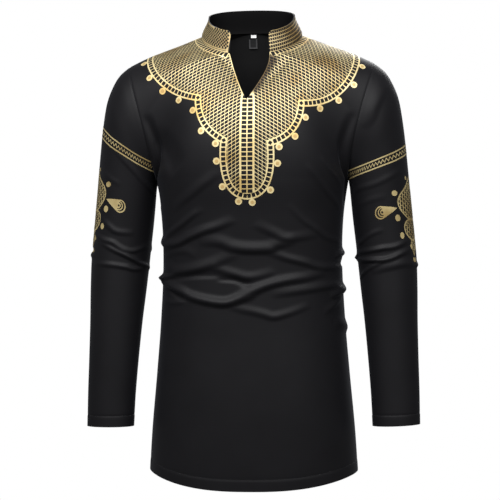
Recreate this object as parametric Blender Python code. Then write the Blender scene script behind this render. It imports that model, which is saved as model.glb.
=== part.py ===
"""Long-sleeved dashiki shirt in its worn shape, hollow, with nobody in it.

Metres, +Z up. The front faces -Y and the wearer's left arm is on the +X side. The origin lies
midway between the high points of the two shoulders, where a wearer carries the shirt.
Each piece of cloth is a thin closed wall, and two pieces stop just short of each other at a seam.
"""
import math
from collections import defaultdict, namedtuple

import bpy
from mathutils import Vector
from mathutils.bvhtree import BVHTree

# ---------------------------------------------------------------- the cloth
CLOTH_WALL = 0.0018            # cloth with its seam allowances
COLLAR_WALL = 0.0024           # two layers with a stiffener between them
SEAM_GAP = 0.0003              # between two pieces at their seam

# ---------------------------------------------------------------- the body of the shirt
# One row for each level: half width at the side seam, and where the centre front and the
# centre back stand on Y.
Level = namedtuple("Level", "height side front back")
BODY_LEVELS = (
    Level(height=-0.800, side=0.1885, front=-0.128, back=0.125),
    Level(height=-0.700, side=0.1825, front=-0.127, back=0.126),
    Level(height=-0.600, side=0.1735, front=-0.124, back=0.119),
    Level(height=-0.500, side=0.1655, front=-0.119, back=0.103),
    Level(height=-0.400, side=0.1610, front=-0.117, back=0.094),
    Level(height=-0.320, side=0.1635, front=-0.122, back=0.097),
    Level(height=-0.254, side=0.1730, front=-0.128, back=0.106),
    Level(height=-0.180, side=0.1900, front=-0.124, back=0.114),
    Level(height=-0.112, side=0.2050, front=-0.105, back=0.110),
    Level(height=-0.030, side=0.2200, front=-0.064, back=0.083),
    Level(height=0.0190, side=0.2200, front=-0.048, back=0.060),
)
SQUARENESS = 2.35              # 2 would be an ellipse: a body is a little squarer
SIDE_SEAM_Y = 0.008
HEM_CENTRE_Z = -0.790
HEM_SIDE_Z = -0.764
CHEST_CENTRE_Z = -0.253        # the row from the underarm meets the centre line here
FOLD_FLOOR_Z = -0.510          # the folds at the waist end here
UNDERARM = Vector((0.173, SIDE_SEAM_Y, -0.254))

SHOULDER_TIP = Vector((0.222, 0.010, -0.0455))
SHOULDER_CROWN = 0.0030         # the shoulder seam arches by this much toward its tip
ARMHOLE_FRONT = 0.070          # how far the armhole swings forward and back
ARMHOLE_BACK = 0.069
ARMHOLE_SCOOP = 1.30           # over 1 hollows the armhole toward the neck

NECK_SIDE = Vector((0.091, 0.012, 0.008))
NECK_FRONT_REACH = 0.075       # the neckline in front of and behind its side point
NECK_BACK_REACH = 0.048
NECK_FRONT_DROP = 0.040
NECK_BACK_RISE = 0.011
NECK_DROP_POWER = 1.05
SLIT_TIP_Z = -0.112
SLIT_POWER = 0.80              # under 1 lets the slit gape near its tip
SLIT_HALF_OPENING = {1: 0.037, -1: 0.034}

ARMHOLE_FLATTENING = 0.45      # the cloth reaches the armhole before it faces the side
FLATTENING_RISE = 0.40
CHEST_FULLNESS = 0.009         # the cloth rounds out between neck and armhole
BACK_FULLNESS = 0.007

# Rows of points from the hem up, and points across half a panel.
SKIRT_ROWS = 8
WAIST_ROWS = 16
CHEST_ROWS = 4
SLIT_ROWS = 3
NECK_SHARES = (0.0, 0.06, 0.13, 0.26, 0.45, 0.64, 0.82, 1.0)
NECK_ROWS = len(NECK_SHARES) - 1
ARMHOLE_ROWS = CHEST_ROWS + SLIT_ROWS + NECK_ROWS
HALF_COLUMNS = 10

# ---------------------------------------------------------------- the sleeves
# One row for each level down the arm: the outer and the inner line of the sleeve as seen from
# the front, half its depth, and where its middle stands on Y.
Cuff = namedtuple("Cuff", "outer_x outer_z inner_x inner_z half_depth middle_y")
SLEEVE_LEVELS = (
    Cuff(0.2400, -0.061, 0.1738, -0.258, 0.0690, 0.009),
    Cuff(0.2530, -0.082, 0.1746, -0.263, 0.0680, 0.010),
    Cuff(0.2640, -0.111, 0.1755, -0.270, 0.0665, 0.011),
    Cuff(0.2715, -0.155, 0.1766, -0.282, 0.0640, 0.012),
    Cuff(0.2770, -0.205, 0.1782, -0.300, 0.0620, 0.013),
    Cuff(0.2825, -0.265, 0.1812, -0.330, 0.0600, 0.014),
    Cuff(0.2885, -0.330, 0.1858, -0.370, 0.0575, 0.014),
    Cuff(0.2940, -0.390, 0.1900, -0.410, 0.0550, 0.012),
    Cuff(0.2955, -0.445, 0.1945, -0.452, 0.0510, 0.007),
    Cuff(0.2955, -0.505, 0.2005, -0.505, 0.0460, 0.000),
    Cuff(0.2965, -0.570, 0.2065, -0.570, 0.0410, -0.007),
    Cuff(0.2980, -0.635, 0.2115, -0.635, 0.0370, -0.013),
    Cuff(0.2985, -0.695, 0.2145, -0.695, 0.0345, -0.018),
)
RINGS_PER_LEVEL = (1, 1, 1, 2, 2, 3, 4, 4, 3, 2, 1, 1)
ARMHOLE_BLEND_RINGS = 3        # the scoop of the armhole fades out over these rings

# ---------------------------------------------------------------- folds
# A fold runs from its start past its bend to its end. A place on the cloth is a turn in degrees,
# round the body (0 centre front, 90 the side seam on the wearer's left, 180 centre back) or round
# a sleeve (0 outer line, 90 in front, 180 inner line), and a height. A height of the fold below 0
# is a hollow.
Fold = namedtuple("Fold", "start_turn start_z bend_turn bend_z end_turn end_z width height")
FRONT_FOLDS = (
    Fold(-86, -0.372, -45, -0.378, -5, -0.326, 0.019, 0.0048),
    Fold(-70, -0.358, -40, -0.325, -20, -0.305, 0.017, 0.0030),
    Fold(-46, -0.301, -30, -0.285, -18, -0.256, 0.016, 0.0025),
    Fold(-26, -0.363, 0, -0.384, 26, -0.361, 0.019, 0.0048),
    Fold(2, -0.328, 20, -0.351, 46, -0.349, 0.018, 0.0030),
    Fold(10, -0.380, 30, -0.398, 64, -0.414, 0.018, 0.0036),
    Fold(-4, -0.383, -25, -0.403, -62, -0.416, 0.018, 0.0036),
    Fold(-95, -0.428, -55, -0.448, -16, -0.468, 0.019, 0.0055),
    Fold(-28, -0.462, -6, -0.474, 12, -0.438, 0.018, 0.0040),
    Fold(4, -0.446, 22, -0.422, 56, -0.418, 0.018, 0.0042),
    Fold(-8, -0.476, 15, -0.498, 72, -0.480, 0.019, 0.0036),
    Fold(28, -0.298, 45, -0.340, 88, -0.368, 0.018, 0.0034),
    Fold(58, -0.460, 82, -0.452, 112, -0.446, 0.018, 0.0052),
    Fold(62, -0.508, 86, -0.516, 112, -0.522, 0.019, 0.0040),
    Fold(-52, -0.424, -20, -0.424, 4, -0.448, 0.016, -0.0034),
    Fold(32, -0.436, 50, -0.440, 76, -0.436, 0.016, -0.0034),
    Fold(70, -0.401, 90, -0.402, 108, -0.404, 0.016, -0.0030),
)
BACK_FOLDS = (
    Fold(96, -0.374, 128, -0.352, 168, -0.364, 0.019, 0.0045),
    Fold(-96, -0.362, -126, -0.388, -164, -0.372, 0.019, 0.0042),
    Fold(150, -0.402, 178, -0.418, 208, -0.400, 0.019, 0.0048),
    Fold(104, -0.438, 136, -0.418, 170, -0.438, 0.019, 0.0042),
    Fold(-92, -0.430, -124, -0.452, -170, -0.446, 0.019, 0.0048),
    Fold(118, -0.484, 150, -0.470, 190, -0.486, 0.020, 0.0038),
    Fold(-112, -0.324, -136, -0.346, -158, -0.338, 0.018, 0.0030),
    Fold(110, -0.318, 136, -0.306, 160, -0.322, 0.018, 0.0028),
    Fold(126, -0.392, 150, -0.384, 172, -0.392, 0.016, -0.0032),
    Fold(-122, -0.412, -150, -0.418, -172, -0.416, 0.016, -0.0032),
)
SLEEVE_FOLDS = {
    -1: (
        Fold(20, -0.358, 90, -0.370, 160, -0.378, 0.015, 0.0032),
        Fold(30, -0.378, 100, -0.394, 185, -0.410, 0.016, 0.0044),
        Fold(40, -0.412, 90, -0.416, 165, -0.412, 0.014, -0.0028),
        Fold(55, -0.340, 80, -0.350, 115, -0.352, 0.014, 0.0024),
        Fold(190, -0.372, 260, -0.384, 330, -0.372, 0.016, 0.0036),
        Fold(200, -0.402, 255, -0.410, 320, -0.396, 0.016, 0.0034),
    ),
    1: (
        Fold(172, -0.386, 90, -0.382, 18, -0.362, 0.015, 0.0036),
        Fold(182, -0.400, 90, -0.402, 12, -0.380, 0.016, 0.0042),
        Fold(165, -0.424, 130, -0.418, 90, -0.404, 0.014, 0.0028),
        Fold(170, -0.393, 100, -0.392, 40, -0.374, 0.012, -0.0026),
        Fold(195, -0.380, 250, -0.392, 325, -0.378, 0.016, 0.0036),
        Fold(205, -0.408, 260, -0.418, 330, -0.404, 0.016, 0.0034),
    ),
}
BODY_CLOTH_PER_DEGREE = 0.0026
SLEEVE_CLOTH_PER_DEGREE = 0.00095
FOLD_SAMPLES = 10

# ---------------------------------------------------------------- collar, label and tab
COLLAR_ROWS = 4
COLLAR_BACK_HEIGHT = 0.046
COLLAR_SIDE_HEIGHT = 0.037
COLLAR_FRONT_HEIGHT = 0.036
COLLAR_SIDE_LEAN = 0.013       # the top edge stands this far inside the seam
COLLAR_FRONT_LEAN = 0.004
COLLAR_BACK_LEAN = 0.006
COLLAR_CORNER_RADIUS = 0.012

LABEL_WIDTH = 0.015
LABEL_DROP = 0.0205
LABEL_TOP_Z = 0.0115
TAB_WIDTH = 0.010
TAB_DROP = 0.004
TAB_GAP = 0.0010               # between the tab and the label below it
LABEL_WALL = 0.0010
LABEL_CLEARANCE = 0.0003


# ---------------------------------------------------------------- curves
def smooth(value):
    """Ease from 0 to 1 with level ends."""
    value = min(1.0, max(0.0, value))
    return value * value * (3.0 - 2.0 * value)


def steps(start, stop, count):
    """The first count of count + 1 evenly spaced values from start to stop."""
    return [start + (stop - start) * k / count for k in range(count)]


def curve_value(keys, values, key):
    """Smooth curve through the values at rising keys, level past both ends."""
    if key <= keys[0]:
        return values[0]
    if key >= keys[-1]:
        return values[-1]
    k = max(i for i in range(len(keys) - 1) if keys[i] <= key)
    before = max(k - 1, 0)
    after = min(k + 2, len(keys) - 1)
    span = keys[k + 1] - keys[k]
    slope_in = (values[k + 1] - values[before]) / (keys[k + 1] - keys[before])
    slope_out = (values[after] - values[k]) / (keys[after] - keys[k])
    t = (key - keys[k]) / span
    ends = values[k] * (1.0 + 2.0 * t) * (1.0 - t) ** 2 + values[k + 1] * t * t * (3.0 - 2.0 * t)
    slopes = slope_in * t * (1.0 - t) ** 2 - slope_out * t * t * (1.0 - t)
    return ends + slopes * span


def body_level(column, height):
    """Read a column of the body's table at a height."""
    heights = [level.height for level in BODY_LEVELS]
    values = [getattr(level, column) for level in BODY_LEVELS]
    return curve_value(heights, values, height)


# ---------------------------------------------------------------- edges of the cut pieces
def armhole_point(turn, side):
    """Armhole of one side: turn 0 at the shoulder tip, 180 at the underarm, in front if over 0."""
    rise = math.cos(math.radians(turn))
    swing = math.sin(math.radians(turn))
    share = (rise + 1.0) / 2.0
    across = UNDERARM.x + (SHOULDER_TIP.x - UNDERARM.x) * share ** ARMHOLE_SCOOP
    middle = UNDERARM.lerp(SHOULDER_TIP, share)
    reach = ARMHOLE_FRONT if swing > 0.0 else ARMHOLE_BACK
    return Vector((side * across, middle.y - reach * swing, middle.z))


def neck_front_point(share, side):
    """Front neckline of one side, from the top of the slit (0) to the side of the neck (1)."""
    turn = math.acos(SLIT_HALF_OPENING[side] / NECK_SIDE.x) * (1.0 - share)
    return Vector((side * NECK_SIDE.x * math.cos(turn),
                   NECK_SIDE.y - NECK_FRONT_REACH * math.sin(turn),
                   NECK_SIDE.z - NECK_FRONT_DROP * math.sin(turn) ** NECK_DROP_POWER))


def neck_back_point(share, side):
    """Back neckline of one side, from the centre back (0) to the side of the neck (1)."""
    turn = math.radians(90.0) * share
    return Vector((side * NECK_SIDE.x * math.sin(turn),
                   NECK_SIDE.y + NECK_BACK_REACH * math.cos(turn),
                   NECK_SIDE.z + NECK_BACK_RISE * math.cos(turn)))


def side_seam(side):
    """Points of a side seam from the hem to just under the armhole."""
    heights = steps(HEM_SIDE_Z, FOLD_FLOOR_Z, SKIRT_ROWS)
    heights += steps(FOLD_FLOOR_Z, UNDERARM.z, WAIST_ROWS)
    return [Vector((side * body_level("side", height), SIDE_SEAM_Y, height)) for height in heights]


def centre_line(column, top, rows_to_top):
    """Points of the centre front or the centre back, from the hem to just under a height."""
    heights = steps(HEM_CENTRE_Z, FOLD_FLOOR_Z, SKIRT_ROWS)
    heights += steps(FOLD_FLOOR_Z, CHEST_CENTRE_Z, WAIST_ROWS)
    heights += steps(CHEST_CENTRE_Z, top, rows_to_top)
    return [Vector((0.0, body_level(column, height), height)) for height in heights]


def slit_edge(side):
    """One edge of the neck slit, from its tip to just under the collar."""
    top = neck_front_point(0.0, side)
    set_back = top.y - body_level("front", top.z)
    edge = []
    for share in steps(0.0, 1.0, SLIT_ROWS):
        height = SLIT_TIP_Z + (top.z - SLIT_TIP_Z) * share
        surface = body_level("front", height) + set_back * share
        edge.append(Vector((top.x * share ** SLIT_POWER, surface, height)))
    return edge


# ---------------------------------------------------------------- sheets of cloth
class Sheet:
    """One layer of cloth: points that are welded where they meet, and four-sided faces."""

    def __init__(self):
        self.points = []
        self.places = []
        self.faces = []
        self.index = {}

    def add_point(self, point, place):
        key = place_key(point)
        if key not in self.index:
            self.index[key] = len(self.points)
            self.points.append(point.copy())
            self.places.append(place)
        return self.index[key]

    def add_grid(self, rows, places, closed=False, flip=False):
        """Add a grid of points, each with its place on the cloth that the folds use."""
        numbers = [[self.add_point(point, place) for point, place in zip(row, row_places)]
                   for row, row_places in zip(rows, places)]
        columns = len(rows[0])
        for low, high in zip(numbers, numbers[1:]):
            for k in range(columns if closed else columns - 1):
                after = (k + 1) % columns
                face = (low[k], low[after], high[after], high[k])
                self.faces.append(face[::-1] if flip else face)

    def face_normal(self, face):
        a, b, c, d = (self.points[k] for k in face)
        return (c - a).cross(d - b).normalized()

    def corner_normals(self):
        """Sum of the face normals round each point, weighted by the corner's angle."""
        sums = [Vector((0.0, 0.0, 0.0)) for _ in self.points]
        for face in self.faces:
            normal = self.face_normal(face)
            for k in range(4):
                here = self.points[face[k]]
                ahead = self.points[face[(k + 1) % 4]] - here
                behind = self.points[face[k - 1]] - here
                sums[face[k]] += normal * ahead.angle(behind, 0.0)
        return sums

    def border(self):
        """Edges with a face on one side only, each in its face's own direction."""
        edges = {(face[k], face[(k + 1) % 4]) for face in self.faces for k in range(4)}
        return [edge for edge in edges if edge[::-1] not in edges]


def place_key(point):
    return tuple(round(value * 1e6) for value in point)


def share_normals(sheets):
    """Unit normals for the points of all sheets, the same for sheets that meet at a point."""
    totals = defaultdict(lambda: Vector((0.0, 0.0, 0.0)))
    for sheet in sheets:
        for point, normal in zip(sheet.points, sheet.corner_normals()):
            totals[place_key(point)] += normal
    return [[totals[place_key(point)].normalized() for point in sheet.points] for sheet in sheets]


def part_seams(sheets, normals):
    """Draw each sheet back by half a gap along the edges that it shares with another."""
    owners = defaultdict(set)
    for number, sheet in enumerate(sheets):
        for a, b in sheet.border():
            owners[frozenset((place_key(sheet.points[a]), place_key(sheet.points[b])))].add(number)
    for sheet, sheet_normals in zip(sheets, normals):
        inward = defaultdict(list)
        for a, b in sheet.border():
            if len(owners[frozenset((place_key(sheet.points[a]), place_key(sheet.points[b])))]) < 2:
                continue
            along = sheet.points[b] - sheet.points[a]
            normal = sheet_normals[a] + sheet_normals[b]
            for k in (a, b):
                inward[k].append(normal.cross(along).normalized())
        moves = {k: corner_move(directions) for k, directions in inward.items()}
        for k, move in moves.items():
            sheet.points[k] += move


def corner_move(directions):
    """The move that takes a corner half a gap away from each of its one or two seams."""
    if len(directions) == 1:
        return directions[0] * (SEAM_GAP / 2.0)
    first, second = directions[0], directions[1]
    return (first + second) * (SEAM_GAP / 2.0) / max(0.35, 1.0 + first.dot(second))


def make_wall(name, sheet, normals, thickness, material):
    """Thicken a sheet inward into a closed solid."""
    flatness = [0.0] * len(sheet.points)
    for number, corner in enumerate(sheet.corner_normals()):
        flatness[number] = max(0.85, corner.normalized().dot(normals[number]))
    inner = [point - normal * (thickness / flat)
             for point, normal, flat in zip(sheet.points, normals, flatness)]
    count = len(sheet.points)
    faces = list(sheet.faces)
    faces += [tuple(k + count for k in face[::-1]) for face in sheet.faces]
    faces += [(b, a, a + count, b + count) for a, b in sheet.border()]
    return add_object(name, sheet.points + inner, faces, material)


def add_object(name, points, faces, material):
    mesh = bpy.data.meshes.new(name)
    mesh.from_pydata([tuple(point) for point in points], [], faces)
    mesh.materials.append(material)
    mesh.shade_smooth()
    mesh.set_sharp_from_angle(angle=math.radians(50.0))
    piece = bpy.data.objects.new(name, mesh)
    bpy.context.scene.collection.objects.link(piece)
    return piece


# ---------------------------------------------------------------- folds on a sheet
def fold_line(fold, cloth_per_degree):
    """Points along a fold in metres of cloth, from its start to its end."""
    start, bend, end = ((turn * cloth_per_degree, height) for turn, height in
                        (fold[0:2], fold[2:4], fold[4:6]))
    line = []
    for k in range(FOLD_SAMPLES + 1):
        t = k / FOLD_SAMPLES
        line.append(tuple(a * (1.0 - t) ** 2 + b * 2.0 * t * (1.0 - t) + c * t * t
                          for a, b, c in zip(start, bend, end)))
    return line


def line_distance(line, across, height, once_round):
    """Distance to the nearest point of a line, and how far along it that is from 0 to 1."""
    best, best_share = 1.0, 0.0
    for k, (a, b) in enumerate(zip(line, line[1:])):
        run = (b[0] - a[0], b[1] - a[1])
        from_start = (across - a[0] + once_round / 2.0) % once_round - once_round / 2.0
        up = height - a[1]
        share = (from_start * run[0] + up * run[1]) / (run[0] ** 2 + run[1] ** 2)
        share = min(1.0, max(0.0, share))
        distance = math.hypot(from_start - run[0] * share, up - run[1] * share)
        if distance < best:
            best, best_share = distance, (k + share) / FOLD_SAMPLES
    return best, best_share


def fold_sheet(sheet, normals, folds, cloth_per_degree):
    """Raise and hollow a sheet along its folds, each soft across and tapered at both ends."""
    once_round = 360.0 * cloth_per_degree
    lines = [fold_line(fold, cloth_per_degree) for fold in folds]
    for number, (turn, height) in enumerate(sheet.places):
        lift = 0.0
        for fold, line in zip(folds, lines):
            distance, share = line_distance(line, turn * cloth_per_degree, height, once_round)
            if distance < fold.width:
                crest = math.cos(math.pi / 2.0 * distance / fold.width) ** 2
                lift += fold.height * crest * math.sin(math.pi * share) ** 0.5
        sheet.points[number] += normals[number] * lift


# ---------------------------------------------------------------- front and back
def body_row(inner, outer, columns, rise, fullness):
    """Points across half a panel: round at the waist, straight along the shoulder seam."""
    straight = smooth(rise)
    last_turn = math.radians(90.0) * (1.0 - ARMHOLE_FLATTENING * smooth(rise / FLATTENING_RISE))
    power = 2.0 / SQUARENESS
    row = []
    for k in range(columns + 1):
        share = k / columns
        turn = last_turn * share
        across = (math.sin(turn) / math.sin(last_turn)) ** power
        away = 1.0 - max(0.0, math.cos(turn)) ** power
        away /= 1.0 - max(0.0, math.cos(last_turn)) ** power
        drop = smooth(away)
        across += (share - across) * straight
        away += (share - away) * straight
        drop += (away - drop) * straight
        puff = fullness * math.sin(math.pi * share) * math.sin(math.pi * rise)
        crown = SHOULDER_CROWN * math.sin(math.pi * share * share) * rise ** 4
        row.append(Vector((inner.x + (outer.x - inner.x) * across,
                           inner.y + (outer.y - inner.y) * away + puff,
                           inner.z + (outer.z - inner.z) * drop + crown)))
    return row


def add_half_panel(sheet, inner_edge, outer_edge, columns, fullness, side, flip):
    """Add half a front or back to a sheet. Its places are turns round the body and heights."""
    underarm_row = SKIRT_ROWS + WAIST_ROWS
    front = fullness < 0.0
    rows, places = [], []
    for k, (inner, outer) in enumerate(zip(inner_edge, outer_edge)):
        rise = max(0.0, (k - underarm_row) / ARMHOLE_ROWS)
        row = body_row(inner, outer, columns, rise, fullness)
        turns = [90.0 * n / columns for n in range(columns + 1)]
        rows.append(row)
        places.append([(side * (turn if front else 180.0 - turn), point.z)
                       for turn, point in zip(turns, row)])
    sheet.add_grid(rows, places, flip=flip)


def front_sheet():
    sheet = Sheet()
    for side in (1, -1):
        armhole = [armhole_point(180.0 * (1.0 - k / ARMHOLE_ROWS), side)
                   for k in range(ARMHOLE_ROWS + 1)]
        inner_edge = centre_line("front", SLIT_TIP_Z, CHEST_ROWS) + slit_edge(side)
        inner_edge += [neck_front_point(share, side) for share in NECK_SHARES]
        add_half_panel(sheet, inner_edge, side_seam(side) + armhole, HALF_COLUMNS,
                       -CHEST_FULLNESS, side, flip=side < 0)
    return sheet


def back_sheet():
    sheet = Sheet()
    for side in (1, -1):
        armhole = [armhole_point(180.0 * (k / ARMHOLE_ROWS - 1.0), side)
                   for k in range(ARMHOLE_ROWS + 1)]
        neck = [neck_back_point(share, side) for share in NECK_SHARES]
        inner_edge = centre_line("back", neck[0].z, CHEST_ROWS + SLIT_ROWS) + neck
        add_half_panel(sheet, inner_edge, side_seam(side) + armhole, HALF_COLUMNS,
                       BACK_FULLNESS, side, flip=side > 0)
    return sheet


# ---------------------------------------------------------------- sleeves
def sleeve_values():
    """Rings of the sleeve after the armhole, each a Cuff read between the table's levels."""
    rings = [SLEEVE_LEVELS[0]]
    keys = list(range(len(SLEEVE_LEVELS)))
    columns = list(zip(*SLEEVE_LEVELS))
    for level, count in enumerate(RINGS_PER_LEVEL):
        for k in range(1, count + 1):
            rings.append(Cuff(*(curve_value(keys, column, level + k / count)
                                for column in columns)))
    return rings


def sleeve_sheet(side):
    sheet = Sheet()
    count = 2 * ARMHOLE_ROWS
    turns = [180.0 * k / ARMHOLE_ROWS for k in range(count)]
    signed = [turn if turn <= 180.0 else turn - 360.0 for turn in turns]
    seam = [armhole_point(turn, side) for turn in signed]
    straight_seam = [sleeve_point(SHOULDER_TIP, UNDERARM, ARMHOLE_FRONT, turn, side)
                     for turn in turns]
    rows = [seam]
    for number, ring in enumerate(sleeve_values()):
        outer = Vector((ring.outer_x, ring.middle_y, ring.outer_z))
        inner = Vector((ring.inner_x, ring.middle_y, ring.inner_z))
        fade = max(0.0, 1.0 - (number + 1.0) / ARMHOLE_BLEND_RINGS)
        rows.append([sleeve_point(outer, inner, ring.half_depth, turn, side) + (a - b) * fade
                     for turn, a, b in zip(turns, seam, straight_seam)])
    places = [[(turn, point.z) for turn, point in zip(turns, row)] for row in rows]
    sheet.add_grid(rows, places, closed=True, flip=side < 0)
    return sheet


def sleeve_point(outer, inner, half_depth, turn, side):
    """Point of an elliptic ring: turn 0 on the outer line, 90 in front, 180 on the inner line."""
    middle = (outer + inner) / 2.0
    lean = (outer - inner) / 2.0
    point = middle + lean * math.cos(math.radians(turn))
    point.y -= half_depth * math.sin(math.radians(turn))
    return Vector((side * point.x, point.y, point.z))


# ---------------------------------------------------------------- collar
def collar_sheet():
    sheet = Sheet()
    for side in (1, -1):
        front = [neck_front_point(share, side) for share in NECK_SHARES]
        back = [neck_back_point(share, side) for share in reversed(NECK_SHARES)]
        base = front + back[1:]
        columns = [collar_column(point, base[0], side) for point in base]
        rows = [list(row) for row in zip(*columns)]
        places = [[(0.0, 0.0)] * len(row) for row in rows]
        sheet.add_grid(rows, places, flip=side < 0)
    return sheet


def collar_column(base, front_end, side):
    """Points up the collar from a point of the neckline, lower at its rounded front corner."""
    toward_front = max(0.0, (NECK_SIDE.y - base.y) / (NECK_SIDE.y - front_end.y))
    toward_back = max(0.0, (base.y - NECK_SIDE.y) / NECK_BACK_REACH)
    to_sides = 1.0 - smooth(toward_front) - smooth(toward_back)
    height = (COLLAR_SIDE_HEIGHT * to_sides + COLLAR_FRONT_HEIGHT * smooth(toward_front)
              + COLLAR_BACK_HEIGHT * smooth(toward_back))
    from_end = min(COLLAR_CORNER_RADIUS, (base - front_end).length)
    short = COLLAR_CORNER_RADIUS - from_end
    height -= COLLAR_CORNER_RADIUS - math.sqrt(COLLAR_CORNER_RADIUS ** 2 - short ** 2)
    middle = Vector((0.0, NECK_SIDE.y, base.z))
    inward = (middle - base).normalized()
    lean = (COLLAR_SIDE_LEAN * to_sides + COLLAR_FRONT_LEAN * smooth(toward_front)
            + COLLAR_BACK_LEAN * smooth(toward_back))
    return [base + Vector((0.0, 0.0, height)) * (k / COLLAR_ROWS)
            + inward * (lean * smooth(k / COLLAR_ROWS)) for k in range(COLLAR_ROWS + 1)]


# ---------------------------------------------------------------- label and tab
def add_neck_patch(name, back, width, top, drop, material):
    """A small woven patch that lies on the inner face of the back, under the collar seam."""
    columns, rows = 4, 3
    tree = BVHTree.FromPolygons([vertex.co for vertex in back.data.vertices],
                                [polygon.vertices for polygon in back.data.polygons])
    outward = Vector((0.0, 1.0, 0.0))
    far_side, near_side = [], []
    for k in range(rows + 1):
        for n in range(columns + 1):
            start = Vector((width * (n / columns - 0.5), 0.0, top - drop * k / rows))
            hit, normal, _, _ = tree.ray_cast(start, outward)
            facing = normal if normal.y < 0.0 else -normal
            far_side.append(hit + facing * LABEL_CLEARANCE)
            near_side.append(hit + facing * (LABEL_CLEARANCE + LABEL_WALL))
    count = len(far_side)
    faces = []
    for k in range(rows):
        for n in range(columns):
            a = k * (columns + 1) + n
            face = (a, a + 1, a + columns + 2, a + columns + 1)
            faces.append(face)
            faces.append(tuple(number + count for number in face[::-1]))
    edges = {(face[k], face[(k + 1) % 4]) for face in faces for k in range(4)}
    faces += [(b, a, a + count, b + count) for a, b in edges
              if (b, a) not in edges and a < count]
    return add_object(name, far_side + near_side, faces, material)


# ---------------------------------------------------------------- materials
def cloth_material(name, colour, roughness):
    material = bpy.data.materials.new(name)
    material.use_nodes = True
    shader = material.node_tree.nodes["Principled BSDF"]
    shader.inputs["Base Color"].default_value = (*colour, 1.0)
    shader.inputs["Roughness"].default_value = roughness
    shader.inputs["Metallic"].default_value = 0.0
    return material


# ---------------------------------------------------------------- the shirt
for thing in list(bpy.data.objects):
    bpy.data.objects.remove(thing, do_unlink=True)

sheets = [front_sheet(), back_sheet(), sleeve_sheet(1), sleeve_sheet(-1), collar_sheet()]
unfolded = share_normals(sheets)
for sheet, normals in zip(sheets[:2], unfolded):
    fold_sheet(sheet, normals, FRONT_FOLDS + BACK_FOLDS, BODY_CLOTH_PER_DEGREE)
for side, sheet, normals in zip((1, -1), sheets[2:4], unfolded[2:4]):
    fold_sheet(sheet, normals, SLEEVE_FOLDS[side], SLEEVE_CLOTH_PER_DEGREE)
shared = share_normals(sheets)
part_seams(sheets, shared)

shirt_black = (0.012, 0.012, 0.014)
names = ("front", "back", "sleeve_left", "sleeve_right", "collar")
walls = (CLOTH_WALL, CLOTH_WALL, CLOTH_WALL, CLOTH_WALL, COLLAR_WALL)
pieces = {}
for name, sheet, normals, thickness in zip(names, sheets, shared, walls):
    material = cloth_material(name + "_cloth", shirt_black, 0.5)
    pieces[name] = make_wall(name, sheet, normals, thickness, material)

add_neck_patch("neck_label", pieces["back"], LABEL_WIDTH, LABEL_TOP_Z, LABEL_DROP,
               cloth_material("label_weave", (0.08, 0.08, 0.085), 0.7))
add_neck_patch("size_tab", pieces["back"], TAB_WIDTH, LABEL_TOP_Z + TAB_GAP + TAB_DROP, TAB_DROP,
               cloth_material("tab_weave", (0.75, 0.75, 0.73), 0.7))
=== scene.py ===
"""Long-sleeved dashiki shirt in black stretch satin, with a gold foil print.

Metres, +Z up, front toward -Y, the wearer's left arm on the +X side.
"""
import math
from collections import namedtuple

import bpy
import numpy as np
from mathutils import Matrix, Vector
from mathutils.bvhtree import BVHTree
from mathutils.geometry import delaunay_2d_cdt
from mathutils.interpolate import poly_3d_calc
from mathutils.kdtree import KDTree


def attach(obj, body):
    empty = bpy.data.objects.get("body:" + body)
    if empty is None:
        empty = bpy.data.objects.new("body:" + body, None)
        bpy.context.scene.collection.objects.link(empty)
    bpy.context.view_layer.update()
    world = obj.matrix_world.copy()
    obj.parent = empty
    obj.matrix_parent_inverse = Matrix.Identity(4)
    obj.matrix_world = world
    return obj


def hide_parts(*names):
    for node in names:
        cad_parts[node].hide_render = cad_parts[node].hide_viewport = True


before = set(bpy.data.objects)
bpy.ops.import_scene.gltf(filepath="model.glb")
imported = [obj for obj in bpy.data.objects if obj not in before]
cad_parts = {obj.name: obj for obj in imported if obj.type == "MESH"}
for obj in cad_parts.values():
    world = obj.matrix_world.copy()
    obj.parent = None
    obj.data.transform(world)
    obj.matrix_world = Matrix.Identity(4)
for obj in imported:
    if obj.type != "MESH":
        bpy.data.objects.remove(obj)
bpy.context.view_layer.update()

# ---------------------------------------------------------------- cloth of the shirt
# All cut pieces are one black stretch satin, knitted with a smooth bright face. It is dull in
# the shade and takes a soft bluish sheen where it turns to the light.
SATIN_BLACK = (0.0056, 0.0054, 0.0062)
SATIN_LIT = (0.0098, 0.0094, 0.0112)
SATIN_REVERSE_PAINTED_LIGHT = (0.0150, 0.0150, 0.0154)       # the unpolished side, lightened as painted light for the shaded inside
# the collar's unpolished side, darkened as painted shade where the lamps reach into the collar
COLLAR_REVERSE_PAINTED_SHADE = (0.0045, 0.0044, 0.0046)
SATIN_SHEEN = (0.62, 0.66, 0.78)
WAVE_TURN = math.pi / 10.0      # metres to a turn of a wave texture of scale 1
KNIT_COLUMN = 0.003770          # between the faint ridges along the knit
KNIT_COURSE = 0.004712          # and across it
KNIT_RELIEF = 0.00006
SATIN_CLOUDS = 14.0             # scale of its soft unevenness


def plug(socket, part):
    """Set a socket to a value, or link it to a Value."""
    if isinstance(part, Value):
        socket.id_data.links.new(part.socket, socket)
    else:
        socket.default_value = part


class Value:
    """An output socket. Arithmetic on it adds the Math nodes that work the result out."""

    def __init__(self, socket):
        self.socket = socket

    def join(self, operation, first, second):
        maths = self.socket.id_data.nodes.new("ShaderNodeMath")
        maths.operation = operation
        plug(maths.inputs[0], first)
        plug(maths.inputs[1], second)
        return Value(maths.outputs[0])

    def __add__(self, other):
        return self.join("ADD", self, other)

    def __radd__(self, other):
        return self.join("ADD", other, self)

    def __sub__(self, other):
        return self.join("SUBTRACT", self, other)

    def __rsub__(self, other):
        return self.join("SUBTRACT", other, self)

    def __mul__(self, other):
        return self.join("MULTIPLY", self, other)

    def __rmul__(self, other):
        return self.join("MULTIPLY", other, self)


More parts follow.
